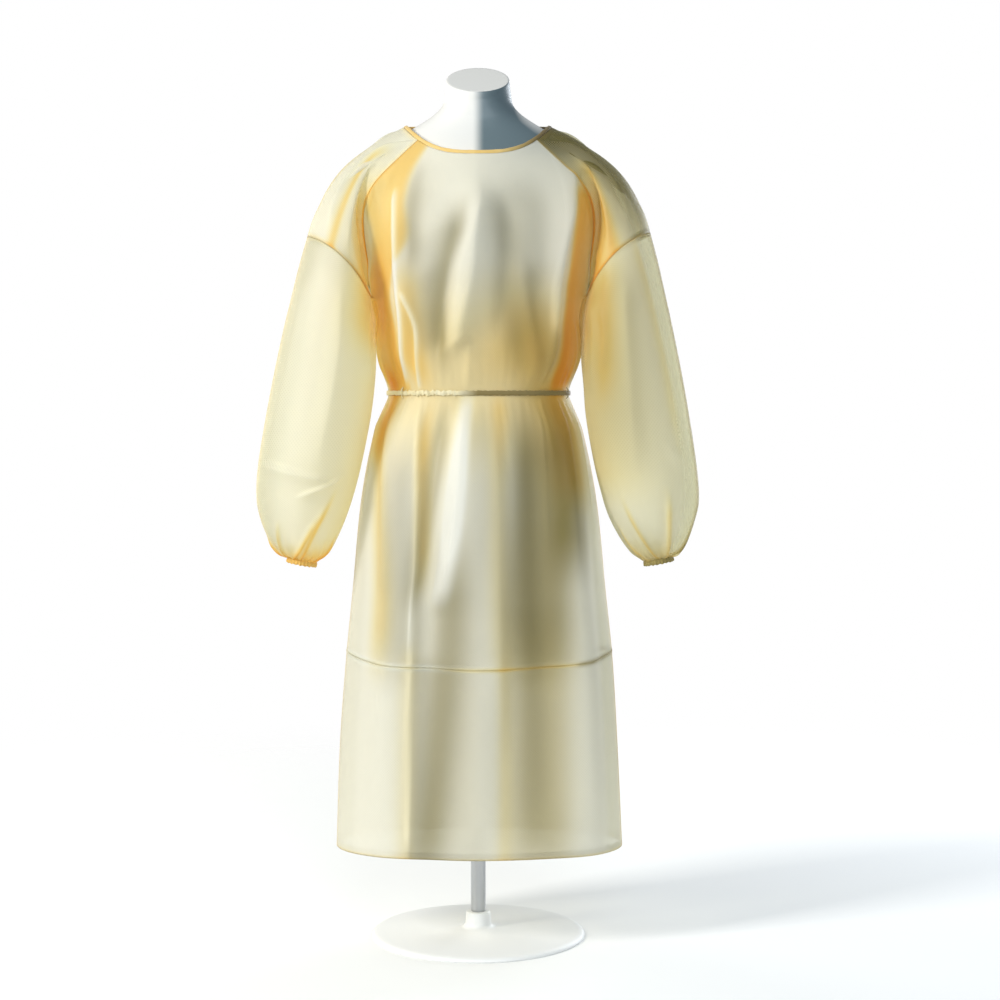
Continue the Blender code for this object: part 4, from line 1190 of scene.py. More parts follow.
def wrist_bands(paths: Sequence[Any], amount: float) -> list[Fold]:
    """Tone along the long pleats above a cuff."""
    return [Fold("wrist pleat", path, 0.012, 0.010, amount, 2.0, 0.3) for path in paths]


LEFT_SLEEVE_FOLDS += wrist_folds(LEFT_WRIST_PLEATS)
RIGHT_SLEEVE_FOLDS += wrist_folds(RIGHT_WRIST_PLEATS)
# Creases across a sleeve: turn and section number along each crest, widths in sections.
LEFT_SLEEVE_CREASES = folds(
    ("elbow crease", ((0.14, 6.6), (0.24, 6.35), (0.34, 6.1), (0.46, 5.85)), 0.08, 0.22, 0.007, 1.4, 0.25),
    ("second crease", ((0.105, 6.4), (0.19, 6.75), (0.28, 7.1)), 0.08, 0.18, 0.0056, 1.4, 0.3),
    ("back crease", ((0.58, 5.2), (0.68, 5.6), (0.84, 5.3)), 0.2, 0.26, 0.0045, 1.6, 0.3),
)
RIGHT_SLEEVE_CREASES = folds(
    ("elbow crease", ((0.3, 5.6), (0.38, 5.85), (0.47, 5.5)), 0.18, 0.26, 0.0026, 1.6, 0.3),
    ("back crease", ((0.55, 5.4), (0.7, 5.8), (0.82, 5.5)), 0.2, 0.26, 0.0045, 1.6, 0.3),
)


@dataclass(frozen=True)
class CuffGathers:
    """Pleats that the elastic draws into the sleeve, uneven in length and depth."""

    seed: int
    count: int = 21

    def lift(self, section: Array, turn: Array) -> Array:
        """How far the pleats move each point of the sleeve."""
        draw = np.random.default_rng(self.seed)
        total = np.zeros_like(turn)
        for k in range(self.count):
            crest = (k + draw.uniform(-0.3, 0.3)) / self.count
            start = draw.uniform(5.2, 8.8)
            depth = draw.uniform(0.0020, 0.0052)
            drift = draw.uniform(-0.010, 0.010)
            grown = smoothstep((section - start) / (11.4 - start)) * bell((section - 11.0) / 3.0) * 1.15
            away = (turn - crest - drift * (11.0 - section) + 0.5) % 1.0 - 0.5
            width = 0.42 / self.count * lerp(1.5, 0.8, np.clip((section - 6.0) / 5.0, 0.0, 1.0))
            total += depth * grown * bell(away / width)
        return total * lerp(1.0, 0.45, smoothstep((section - 10.0) / 1.0))


@dataclass
class Arm:
    """Shoulder piece, sleeve and cuff of one side.

    Word is left or right as seen from the front, and side its direction along X, -1 or 1. Plain
    holds the warmth, openness and painted shade of its cloth where no band lies. Folds run down the
    sleeve and creases round it.
    """

    body: Body
    word: str
    side: float
    table: Array
    folds: Sequence[Fold]
    creases: Sequence[Fold]
    gathers: CuffGathers
    plain: tuple[float, float, float]
    sleeve_bands: Tones
    shoulder_bands: Tones
    armhole_spaces: float = 8.0
    neck_spaces: float = 6.0
    arm_drop: float = 0.35
    fullness: float = 1.35
    cuff_gap: float = 0.0012
    cuff_length: float = 0.009
    ripples: int = 27
    shoulder_depth: float = 0.16
    sleeve_length: float = 0.58

    @property
    def spaces(self) -> float:
        """Steps round the armhole and the side neck."""
        return 2 * self.armhole_spaces + self.neck_spaces

    @property
    def last(self) -> float:
        """Number of the section at the wrist."""
        return len(self.table) - 1.0

    def section_point(self, section: Array, turn: Array) -> Array:
        """Points of the sleeve with no folds. Turn runs from the inner edge over the front."""
        row = table_curve(np.arange(len(self.table), dtype=float), self.table, section)
        outer = np.stack([row[..., 0] * self.side, -row[..., 5], row[..., 1]], axis=-1)
        inner = np.stack([row[..., 2] * self.side, -row[..., 5], row[..., 3]], axis=-1)
        around = (turn * 2 * math.pi)[..., None]
        across = (outer - inner) / 2
        upward = unit(np.stack([-across[..., 2], 0 * turn, across[..., 0]], axis=-1) * self.side)
        bow = upward * row[..., 6:7] * np.sin(around) ** 2
        depth = np.stack([0 * turn, row[..., 4], 0 * turn], axis=-1)
        return (outer + inner) / 2 + bow - across * np.cos(around) - depth * np.sin(around)

    def sleeve_direction(self, turn: Array) -> Array:
        """Unit vectors down the sleeve from its upper seam."""
        return unit(self.section_point(0 * turn + 1.0, turn) - self.section_point(0 * turn, turn))

    def armhole_place(self, k: Array) -> tuple[Array, Array]:
        """Degrees and height of the armhole and side neck, at step k round it."""
        rise, top = self.armhole_spaces, self.armhole_spaces + self.neck_spaces
        turn = self.body.sizes.raglan_turn
        front = 90.0 - self.body.raglan(k / rise)
        back = 90.0 + self.body.raglan((self.spaces - k) / rise)
        neck = 90.0 + lerp(-turn, turn, (k - rise) / self.neck_spaces)
        degrees = np.where(k <= rise, front, np.where(k >= top, back, neck))
        climb = np.clip(np.minimum(k, self.spaces - k) / rise, 0.0, 1.0)
        return degrees * self.side, self.body.sizes.underarm_z + climb

    def armhole_point(self, k: Array) -> Array:
        """Points of the armhole and side neck."""
        degrees, height = self.armhole_place(k)
        return self.body.point(degrees, height)

    def armhole_outward(self, k: Array) -> Array:
        """Direction in which the shoulder piece leaves the armhole or the neck."""
        degrees, height = self.armhole_place(k)
        after = self.body.smooth_point(*self.armhole_place(np.minimum(k + 0.7, self.spaces)))
        before = self.body.smooth_point(*self.armhole_place(np.maximum(k - 0.7, 0.0)))
        outward = unit(np.array((self.side, 0.0, -self.arm_drop)))
        across = unit(np.cross(after - before, self.body.normal(degrees, height)))
        across = across * np.sign(across @ outward)[:, None]
        climb = smoothstep((height - self.body.sizes.underarm_z) * 1.6)[:, None]
        return unit(outward * (1.0 - climb) + across * climb)

    def shoulder_point(self, k: Array, part: Array) -> Array:
        """Points of the shoulder piece, from the armhole to the upper-arm seam."""
        leave = self.armhole_outward(k)
        start = self.armhole_point(k)
        turn = k / self.spaces
        end = self.section_point(0 * turn, turn)
        reach = self.fullness * np.linalg.norm(end - start, axis=-1, keepdims=True)
        return hermite(start, leave * reach, end, self.sleeve_direction(turn) * reach, part)

    def fold_out(self, place: Surface, s: Array, t: Array, lift: Array, outward: float) -> Array:
        """Points of a surface moved out of it."""
        step = 0.004
        right = place(s + step, t) - place(s - step, t)
        up = place(s, t + step) - place(s, t - step)
        return place(s, t) + unit(np.cross(right, up) + 1e-12) * (outward * lift)[:, None]

    def shoulder(self, s: Array, t: Array) -> Array:
        """Shoulder piece with its folds."""

        def place(s: Array, t: Array) -> Array:
            return self.shoulder_point(np.clip(s, 0.0, 1.0) * self.spaces, t)

        lift = add_lifts(SHOULDER_FOLDS, t, s * self.spaces)
        return self.fold_out(place, s, t, lift * smoothstep(np.minimum(t, 1.0 - t) / 0.2), -self.side)

    def sleeve(self, s: Array, t: Array) -> Array:
        """Sleeve with its folds, creases and gathers."""

        def place(s: Array, t: Array) -> Array:
            return self.section_point(t * self.last, s)

        section = t * self.last
        lift = add_lifts(self.folds, section, s, self.gathers.lift(section, s))
        lift = add_lifts(self.creases, s, section, lift)
        return self.fold_out(place, s, t, lift * smoothstep(t / 0.03), -self.side)

    def sleeve_tones(self, s: Array, t: Array) -> Array:
        """The sleeve's tones. Its back repeats its front."""
        seam = bell(t * self.sleeve_length / 0.0022)
        return self.sleeve_bands.at(t * self.last, np.minimum(s, 1.0 - s), self.base(seam, 0.10))

    def shoulder_tones(self, s: Array, t: Array) -> Array:
        """The shoulder's tones, by the part out from the armhole and the turn round it."""
        seam = bell(np.minimum(t, 1.0 - t) * self.shoulder_depth / 0.0026)
        return self.shoulder_bands.at(t, s, self.base(seam, 0.20 * t))

    def base(self, seam: Array, depth: float | Array) -> tuple[Array, Array, Array]:
        """Tones without bands, with the cloth doubled at a seam and its painted shade deeper there."""
        warmth, openness, shade = self.plain
        return warmth + 0.25 * seam, openness * (1.0 - 0.75 * seam), shade + depth * seam

    def build(self, cloth: bpy.types.Material, elastic: bpy.types.Material) -> None:
        """Make the shoulder piece, the sleeve and the cuff."""
        turning = self.body.sizes.turning
        outward = -self.side
        shoulder = GridMesh(
            f"shoulder_{self.word}_cloth", self.shoulder, Stops.spaced(168),
            Stops.spaced(78, (turning / self.shoulder_depth, turning / self.shoulder_depth), ease=0.4),
            outward, Trim.ROUND, (0.46, self.shoulder_depth), self.shoulder_tones, face_chart=True,
        )
        hang(shoulder, cloth, (f"shoulder_{self.word}",))
        sleeve = GridMesh(
            f"sleeve_{self.word}_cloth", self.sleeve, Stops.spaced(168),
            Stops.spaced(176, (turning / 0.56, 0.0)),
            outward, Trim.ROUND, (0.42, self.sleeve_length), self.sleeve_tones,
        )
        hang(
            sleeve, cloth, (f"sleeve_{self.word}",)
        )
        cuff = self.build_cuff()
        dress(cuff, elastic, "cuff_elastic", f"cuff_{self.word}")

    def build_cuff(self) -> bpy.types.Object:
        """Elastic casing: a ring of small uneven ruffles."""
        row = self.table[-1]
        across = np.array(((row[0] - row[2]), 0.0, row[1] - row[3]))
        axis = unit(np.array((across[2] * self.side, 0.0, -across[0])))
        draw = np.random.default_rng(self.gathers.seed + 40)
        phase = draw.uniform(0.0, 2 * math.pi, 3)

        def surface(s: Array, t: Array) -> Array:
            wrist = 0 * s + self.last
            edge = self.section_point(wrist, s)
            middle = (self.section_point(wrist, 0 * s) + self.section_point(wrist, 0 * s + 0.5)) / 2
            out = unit(edge - middle)
            around = 2 * math.pi * s
            ruffle = np.sin(self.ripples * around + phase[0]) + 0.6 * np.sin(11 * around + phase[1])
            turn = 2 * math.pi * t
            lean = 0.0007 * ruffle * (0.75 + 0.6 * np.cos(turn))
            thick = 0.0011 * np.sin(turn)
            down = self.cuff_gap + self.cuff_length / 2
            down = down + (self.cuff_length / 2 + 0.0006 * np.sin(19 * around + phase[2])) * np.cos(turn)
            return edge + out * (thick + lean)[:, None] + axis * down[:, None]

        name = f"cuff_{self.word}_casing"
        grid = GridMesh(name, surface, Stops.spaced(324), Stops.spaced(16), trim=Trim.ROUND)
        return face_outward(grid.build())


# Shoulder folds: part from the armhole to the arm seam and step round the armhole along each crest.
SHOULDER_FOLDS = folds(
    ("front fold", ((0.05, 5.5), (0.5, 5.6), (0.98, 5.2)), 0.45, 0.8, 0.0045, 1.5),
    ("front low fold", ((0.2, 3.4), (0.6, 3.4), (0.98, 3.1)), 0.4, 0.6, 0.0035, 1.5),
    ("upper fold", ((0.25, 8.6), (0.6, 8), (0.98, 7.6)), 0.5, 0.9, 0.0048, 1.6),
    ("top trough", ((0.1, 10.6), (0.5, 10.4), (0.95, 10.2)), 1.1, 1.1, -0.003),
    ("back upper fold", ((0.15, 13.2), (0.6, 13.6), (0.98, 14.1)), 0.9, 0.6, 0.0048, 1.6),
    ("back fold", ((0.05, 16.4), (0.5, 16.3), (0.98, 16.8)), 0.8, 0.5, 0.0045, 1.5),
    ("back low fold", ((0.2, 18.6), (0.6, 18.7), (0.98, 19)), 0.6, 0.4, 0.0035, 1.5),
)

# Bands of the sleeves: section number and turn from the inner edge, 0.25 in front and 0.5 outside. Their
# shade bands are painted shade, most on the right sleeve, which lies away from the light.
LEFT_SLEEVE_TONES = Tones(
    warmth=folds(
        ("underarm", ((-1.5, 0.02), (0.5, 0.04), (3.6, 0.02)), 0.14, 0.13, 0.6, 2, 0.4),
        ("inner side", ((-1, 0), (5, 0), (12, 0)), 0.2, 0.2, 0.2, 2, 0.1),
        ("outer line", ((-1, 0.5), (5, 0.5), (12, 0.5)), 0.035, 0.035, 0.36, 3, 0.05),
        ("wrist", ((8.6, 0.25), (11.2, 0.25), (14, 0.25)), 0.9, 0.9, 0.56, 2, 0.5),
    ) + wrist_bands(LEFT_WRIST_PLEATS, 0.42),
    openness=folds(
        ("outer strip", ((-1, 0.4), (5, 0.41), (10.5, 0.4)), 0.09, 0.06, 0.26, 3, 0.1),
        ("inner side", ((-1.5, 0), (1, 0), (5, 0)), 0.16, 0.16, 0.26, 2, 0.3),
    ),
    shade=folds(
        ("outer strip", ((-1, 0.42), (5, 0.42), (10.5, 0.42)), 0.05, 0.04, 0.1, 3, 0.1),
    ),
)
RIGHT_SLEEVE_TONES = Tones(
    warmth=folds(
        ("underarm", ((-2.5, 0.04), (0.8, 0.04), (4.6, 0)), 0.12, 0.12, 0.5, 2, 0.4),
        ("inner side", ((-1, 0.05), (3, 0.05), (8, 0)), 0.2, 0.2, 0.24, 2, 0.2),
        ("front stripe", ((-0.5, 0.2), (2.5, 0.17), (5.2, 0.12)), 0.03, 0.05, 0.22, 2, 0.3),
        ("outer fold", ((-0.5, 0.34), (2.5, 0.355), (6, 0.37)), 0.02, 0.012, 0.2, 2, 0.2),
        ("outer line", ((-1, 0.5), (5, 0.5), (12, 0.5)), 0.035, 0.035, 0.3, 3, 0.05),
        ("wrist", ((8.4, 0.25), (11.2, 0.25), (14, 0.25)), 0.9, 0.9, 0.28, 2, 0.5),
    ) + wrist_bands(RIGHT_WRIST_PLEATS, 0.30),
    openness=folds(
        ("outer strip", ((-1, 0.415), (5, 0.42), (11, 0.4)), 0.06, 0.05, 0.4, 4, 0.06),
        ("inner side", ((-1.5, 0), (1, 0), (5, 0)), 0.14, 0.14, 0.2, 2, 0.3),
    ),
    # Painted shade: the right sleeve lies away from the light, darkest along its outer line.
    shade=folds(
        ("front", ((-1, 0.24), (3, 0.2), (7, 0.18)), 0.16, 0.1, 0.3, 2, 0.3),
        ("outer line", ((-1, 0.5), (5, 0.5), (12, 0.5)), 0.035, 0.035, 0.75, 3, 0.05),
        ("wrist", ((8, 0.25), (11.2, 0.25), (14, 0.25)), 0.9, 0.9, 0.2, 2, 0.5),
    ),
)
# Bands of the shoulder pieces: part out from the armhole and turn, 0 at the underarm, 0.25 in front. The
# right one's shade band is painted shade.
LEFT_SHOULDER_TONES = Tones(
    warmth=folds(
        ("underarm", ((-0.6, 0.05), (0.6, 0.07), (1.8, 0.06)), 0.1, 0.13, 0.7, 2, 0.3),
        ("front band", ((0, 0.3), (0.6, 0.31), (1.4, 0.3)), 0.018, 0.022, 0.4, 2, 0.3),
        ("outer line", ((0.1, 0.5), (0.8, 0.5), (1.6, 0.5)), 0.03, 0.03, 0.3, 3, 0.3),
    ),
    openness=folds(
        ("near the body", ((-0.8, 0.14), (0.1, 0.14), (1, 0.12)), 0.16, 0.14, 0.12, 2, 0.4),
    ),
    shade=[],
)
RIGHT_SHOULDER_TONES = Tones(
    warmth=folds(
        ("underarm", ((-0.6, 0.08), (0.6, 0.1), (1.8, 0.1)), 0.1, 0.14, 0.8, 2, 0.3),
        ("front band", ((0, 0.24), (0.6, 0.25), (1.4, 0.25)), 0.03, 0.03, 0.34, 2, 0.3),
    ),
    openness=folds(
        ("near the body", ((-0.8, 0.14), (0.1, 0.14), (1, 0.12)), 0.16, 0.14, 0.12, 2, 0.4),
        ("outer patch", ((0.5, 0.36), (0.85, 0.37), (1.5, 0.39)), 0.03, 0.03, 0.35, 2, 0.4),
    ),
    # Painted shade over the top of the right shoulder, which slopes away from the light.
    shade=folds(
        ("top", ((-0.4, 0.41), (0.4, 0.43), (1.2, 0.47)), 0.15, 0.18, 0.84, 3, 0.3),
    ),
)

# ---------------------------------------------------------------- neck, belt and ties


class NeckTrim:
    """Binding round the neckline, with its knot and ties behind."""

    start: float = -199.0
    end: float = 199.0
    width: float = 0.0064
    thickness: float = 0.0026
    knot_degrees: float = 195.0
    tie_top_z: float = 1.348
    tie_length: float = 0.110
    tie_width: float = 0.0072

    def __init__(self, body: Body, finish: bpy.types.Material) -> None:
        """Keep the body's surface and the tape."""
        self.body = body
        self.finish = finish

    def edge(self, degrees: Array, rise: Array) -> Array:
        """Points above the neck's edge, on the line that the cloth runs up."""
        top = np.full_like(degrees, self.body.sizes.underarm_z + 1.0)
        lift = self.body.flap_lift(degrees, top) * (degrees > 0.0)
        along = unit(self.body.neckline_direction(degrees)) * np.asarray(rise)[..., None]
        return self.body.point(degrees, top) + radial(degrees) * lift[:, None] + along

    def build(self) -> None:
        """Make the binding, the knot and the ties."""

        def frame(s: Array) -> tuple[Array, Array, Array]:
            degrees = lerp(self.start, self.end, s)
            middle = self.edge(degrees, np.full_like(s, self.width / 2))
            across = unit(self.body.neckline_direction(degrees))
            out = self.body.normal(degrees, np.full_like(s, self.body.sizes.underarm_z + 0.98))
            return middle, across, out

        def half_width(s: Array) -> Array:
            wobble = 0.05 * np.sin(2 * math.pi * 23 * s) + 0.04 * np.sin(2 * math.pi * 41 * s + 1.0)
            return self.width / 2 * (1.0 + wobble)

        def half_thickness(s: Array) -> Array:
            return self.thickness / 2 * (1.0 + 0.10 * np.sin(2 * math.pi * 57 * s))

        binding = tape("neck_binding_tape", frame, half_width, half_thickness, 420, 16)
        dress(binding, self.finish, "neck_tape", "neck_binding")
        degrees = np.array((self.knot_degrees,))
        normal = self.body.normal(degrees, np.array((self.body.sizes.underarm_z + 0.98,)))[0]
        middle = self.edge(degrees, np.array((self.width / 2,)))[0]
        knot = Knot("neck_knot_tape", middle + normal * 0.0086, normal, 0.0062).build()
        dress(knot, self.finish, "neck_tape", "neck_knot")
        for name, first, last in (("neck_tie_under", 0.0, 11.0), ("neck_tie_upper", -3.0, -13.0)):
            run = (self.tie_top_z, self.tie_length, self.tie_width)
            piece = HangingTie(self.body, self.knot_degrees, first, last, *run).build(f"{name}_tape")
            dress(piece, self.finish, "neck_tape", name)


@dataclass
class HangingTie:
    """Free end of a tie that hangs down the back, a little twisted and waved."""

    body: Body
    degrees: float
    first: float
    last: float
    top_z: float
    length: float
    width: float
    clearance: float = 0.0050
    thickness: float = 0.0014

    def back_point(self, degrees: Array, z: Array) -> Array:
        """Points of the outer back flap at heights above the floor."""
        low = np.full_like(z, self.body.sizes.underarm_z)
        high = low + 1.0
        for _ in range(24):
            middle = (low + high) / 2
            under = self.body.point(degrees, middle)[:, 2] < z
            low, high = np.where(under, middle, low), np.where(under, high, middle)
        height = np.where(z <= self.body.sizes.underarm_z, z, low)
        return self.body.point(degrees, height) + radial(degrees) * self.body.sizes.flap_lift

    def build(self, name: str) -> bpy.types.Object:
        """Make the tie."""

        def frame(s: Array) -> tuple[Array, Array, Array]:
            z = self.top_z - self.length * s
            degrees = self.degrees + lerp(self.first, self.last, s)
            out = radial(degrees)
            side = np.stack([out[:, 1], -out[:, 0], 0 * s], axis=-1)
            twist = (0.45 * np.sin(7.0 * s + self.first) * s)[:, None]
            wave = 0.0009 * np.sin(14.0 * s + self.last)
            middle = self.back_point(degrees, z) + out * (self.clearance + wave)[:, None]
            return middle, unit(side + out * twist), unit(out - side * twist)

        def half_width(s: Array) -> Array:
            return self.width / 2 * (1.0 - 0.35 * bell(s / 0.06)) * (1.0 + 0.05 * np.sin(31.0 * s))

        def half_thickness(s: Array) -> Array:
            return self.thickness / 2 + 0 * s

        return tape(name, frame, half_width, half_thickness, 90, 10)


@dataclass
class Knot:
    """Small pulled knot of folded tape: three wraps round each other."""

    name: str
    middle: Array
    out: Array
    reach: float
    wraps: tuple[tuple[float, float, float], ...] = (
        (0.0, 1.0, 0.55), (1.05, 0.82, 0.50), (-0.95, 0.80, 0.50),
    )

    def build(self) -> bpy.types.Object:
        """Make the knot."""
        side = unit(np.cross(self.out, np.array((0.0, 0.0, 1.0))))
        up = unit(np.cross(side, self.out))
        bm = bmesh.new()
        for k, (lean, scale, thick) in enumerate(self.wraps):
            wide = side * math.cos(lean) + up * math.sin(lean)
            tall = up * math.cos(lean) - side * math.sin(lean)

            def frame(s: Array, wide: Array = wide, tall: Array = tall, scale: float = scale) -> Any:
                turn = 2 * math.pi * s[:, None]
                ring = wide * np.cos(turn) * 0.62 * scale + self.out * np.sin(turn) * 0.42 * scale
                return self.middle + ring * self.reach, tall + 0 * turn, unit(ring)

            part = tape(
                f"{self.name}_wrap_{k}", frame,
                lambda s, thick=thick: self.reach * thick * (1.0 + 0.12 * np.sin(6 * math.pi * s)),
                lambda s: self.reach * 0.34 + 0 * s,
                56, 14, ring=True,
            )
            bm.from_mesh(part.data)
            bpy.data.objects.remove(part)
        return as_object(self.name, bm)


class Belt:
    """Narrow tie round the waist, with its loops, its knot and its two ends."""

    knot_degrees: float = 184.0
    end_z: float = 0.906
    end_length: float = 0.235
    loops: tuple[tuple[str, float], ...] = (("left", -54.0), ("right", 73.0))
    loop_half_height: float = 0.0098
    loop_radius: float = 0.0007
    crumple: tuple[float, float] = (-34.0, 22.0)
    frays: int = 26
    fray_stretch: tuple[float, float] = (-58.0, -12.0)
    fray_reach: tuple[float, float] = (0.004, 0.009)
    fray_radii: tuple[float, float] = (0.00045, 0.00035)

    def __init__(self, body: Body, finish: bpy.types.Material) -> None:
        """Keep the body's surface and the cloth of the belt."""
        self.body = body
        self.finish = finish

    def point(self, degrees: Array, rise: Array, out: Array) -> Array:
        """Points beside the waist, outside whichever flap lies there."""
        size = self.body.sizes
        lift = self.body.flap_lift(degrees, np.full_like(degrees, size.belt_z))
        lift = lift * (1.0 - smoothstep((degrees - 212.0) / 24.0))
        middle = self.body.point(degrees, size.belt_z + 0.0 * degrees)
        place = middle + radial(degrees) * (lift + out)[..., None]
        place[..., 2] += rise
        return place

    def wave(self, count: int, degrees: Array, start: float = 0.0) -> Array:
        """Sine with a number of waves round the waist."""
        return np.sin(math.radians(1) * count * degrees + start)

    def crumpled(self, degrees: Array) -> Array:
        """How crumpled the belt is at a place: most on the left of the front."""
        wrapped = turned(degrees)
        return 0.22 + 0.78 * bell((wrapped - self.crumple[0]) / self.crumple[1])

    def build(self) -> None:
        """Make the belt and what goes with it."""
        size = self.body.sizes
        out = size.cloth / 2 + size.belt_clearance + size.belt_thickness / 2

        def frame(s: Array) -> tuple[Array, Array, Array]:
            degrees = 360.0 * s
            rough = self.crumpled(degrees)
            rise = rough * (0.0007 * self.wave(37, degrees) + 0.0004 * self.wave(83, degrees))
            stand = out + 0.0004 * rough * (1.0 + self.wave(61, degrees))
            across = np.stack([0 * s, 0 * s, 1.0 + 0 * s], axis=-1)
            return self.point(degrees, rise, stand), across, radial(degrees)

        def half_width(s: Array) -> Array:
            degrees = 360.0 * s
            rough = self.crumpled(degrees)
            ruffle = 0.16 * self.wave(97, degrees) + 0.12 * self.wave(151, degrees, 1)
            return size.belt_height / 2 * (0.92 + 1.3 * rough * ruffle)

        def half_thickness(s: Array) -> Array:
            degrees = 360.0 * s
            return size.belt_thickness / 2 * (1.0 + 0.3 * self.crumpled(degrees) * self.wave(119, degrees))

        belt = tape("waist_belt_tie", frame, half_width, half_thickness, 840, 12, ring=True)
        dress(belt, self.finish, "belt_cloth", "waist_belt")
        for word, degrees in self.loops:
            loop = self.build_loop(f"belt_loop_{word}_thread", degrees)
            dress(loop, self.finish, "belt_cloth", f"belt_loop_{word}")
        at = np.array((self.knot_degrees,))
        surface = self.point(at, np.zeros(1), np.array((out + size.belt_thickness / 2,)))[0]
        normal = radial(at)[0]
        knot = Knot("belt_knot_tie", surface + normal * 0.0072, normal, 0.0094).build()
        dress(knot, self.finish, "belt_cloth", "belt_knot")
        for word, first, last in (("left", 3.0, 10.0), ("right", -3.0, -8.0)):
            run = (self.end_z, self.end_length, size.belt_height)
            tie = HangingTie(self.body, self.knot_degrees, first, last, *run)
            piece = tie.build(f"belt_end_{word}_tie")
            dress(piece, self.finish, "belt_cloth", f"belt_end_{word}")
        self.build_frays()

    def build_loop(self, name: str, degrees: float) -> bpy.types.Object:
        """Thread loop that goes up, over the belt's outside and back to the cloth."""

        def frame(s: Array) -> tuple[Array, Array, Array]:
            at = np.full_like(s, degrees)
            rise = self.loop_half_height * (2 * s - 1)
            stand = lerp(0.0020, 0.0048, smoothstep(np.minimum(s, 1.0 - s) / 0.26))
            out = radial(at)
            side = np.stack([-out[:, 1], out[:, 0], 0 * s], axis=-1)
            return self.point(at, rise, stand), side, out

        radius = self.loop_radius
        return tape(name, frame, lambda s: 1.6 * radius + 0 * s, lambda s: radius + 0 * s, 40, 10)

    def build_frays(self) -> None:
        """Loose threads that stand out of the belt's crumpled stretch."""
        draw = np.random.default_rng(21)
        bm = bmesh.new()
        for k in range(self.frays):
            degrees = np.array((draw.uniform(*self.fray_stretch),))
            out = SIZES.cloth / 2 + SIZES.belt_clearance + SIZES.belt_thickness
            root = self.point(degrees, np.array((draw.uniform(-0.0030, 0.0020),)), np.array((out,)))[0]
            fall = np.array((draw.uniform(-0.5, 0.5), -0.5, draw.choice((-1.0, -1.0, 0.8))))
            reach = draw.uniform(*self.fray_reach)
            curl = draw.uniform(-0.4, 0.4)

            def frame(s: Array) -> tuple[Array, Array, Array]:
                bend = np.stack([curl * s * s, 0 * s, 0 * s], axis=-1)
                middle = root + (unit(fall) * s[:, None] + bend) * reach
                flat = 0 * middle
                return middle, np.array((1.0, 0.0, 0.0)) + flat, np.array((0.0, -1.0, 0.0)) + flat

            wide, thick = self.fray_radii
            thread = tape(
                f"fray_{k}", frame, lambda s: wide * (1.0 - 0.6 * s), lambda s: thick * (1.0 - 0.6 * s), 10, 6
            )
            bm.from_mesh(thread.data)
            bpy.data.objects.remove(thread)
        dress(as_object("belt_frays", bm), self.finish, "belt_cloth")


# ---------------------------------------------------------------- the dress form and its stand

# Half sizes of the form's sections: z, side, front, back.
FORM_SECTIONS = np.array(
    [
        (0.700, 0.105, 0.070, 0.074), (0.707, 0.128, 0.086, 0.090),
        (0.730, 0.146, 0.094, 0.099), (0.775, 0.150, 0.094, 0.100),
        (0.835, 0.138, 0.086, 0.091), (0.916, 0.113, 0.074, 0.074),
        (0.975, 0.119, 0.080, 0.080), (1.050, 0.133, 0.096, 0.089),
        (1.110, 0.141, 0.103, 0.094), (1.165, 0.147, 0.103, 0.098),
        (1.215, 0.162, 0.097, 0.100), (1.258, 0.172, 0.088, 0.095),
        (1.288, 0.171, 0.079, 0.090), (1.312, 0.158, 0.070, 0.082),
        (1.332, 0.140, 0.061, 0.073), (1.347, 0.119, 0.055, 0.065),
        (1.358, 0.101, 0.052, 0.059), (1.368, 0.085, 0.050, 0.055),
        (1.379, 0.070, 0.050, 0.054), (1.392, 0.059, 0.049, 0.052),
        (1.410, 0.055, 0.049, 0.051), (1.435, 0.052, 0.050, 0.052),
    ]
)


@dataclass
class DressForm:
    """Smooth limbless torso with capped shoulders and a slanted cut at the neck."""

    boxiness: float = 0.12
    round_z: float = 1.330
    cut_start_z: float = 1.385
    cut_slope: float = 0.54
    blend: float = 0.05
    columns: int = 144
    edge_round: float = 0.0014

    def rows(self) -> tuple[Array, Array]:
        """Heights of the rings, and how much each is drawn in towards the middle."""
        low, high = FORM_SECTIONS[0, 0], FORM_SECTIONS[-1, 0]
        foot, rest = np.linspace(low, low + 0.012, 7), np.linspace(low + 0.018, high - 0.004, 130)
        body = np.concatenate([foot, rest])
        top = np.array((high - self.edge_round, high - self.edge_round * 0.35, high))
        z = np.concatenate([[low, low], body, top, [high, high, high]])
        shrink = np.concatenate([[0.0, 0.6], np.ones(len(body)), [1.0, 0.994, 0.977], [0.92, 0.5, 0.0]])
        return z, shrink

    def build(self, finish: bpy.types.Material) -> None:
        """Make the torso."""
        heights, shrinks = self.rows()

        def surface(s: Array, t: Array) -> Array:
            row = np.rint(t * (len(heights) - 1)).astype(int)
            z, shrink = heights[row], shrinks[row]
            table = table_curve(FORM_SECTIONS[:, 0], FORM_SECTIONS[:, 1:], z)
            angle = 2 * math.pi * s
            side, ahead = np.sin(angle), np.cos(angle)
            roundness = smoothstep((z - self.round_z) / self.blend)
            depth = np.where(ahead >= 0.0, table[:, 1], table[:, 2])
            y = -depth * ahead * (1.0 + self.boxiness * (1.0 - roundness) * side * side) * shrink
            slope = self.cut_slope * smoothstep((z - self.cut_start_z) / self.blend)
            return np.stack([table[:, 0] * side * shrink, y, z + slope * y], axis=-1)

        across, up = Stops.spaced(self.columns), Stops.spaced(len(heights) - 1)
        torso = GridMesh("form_torso_shell", surface, across, up, trim=Trim.ROUND).build()
        dress(torso, finish, "form_shell", "form_torso")


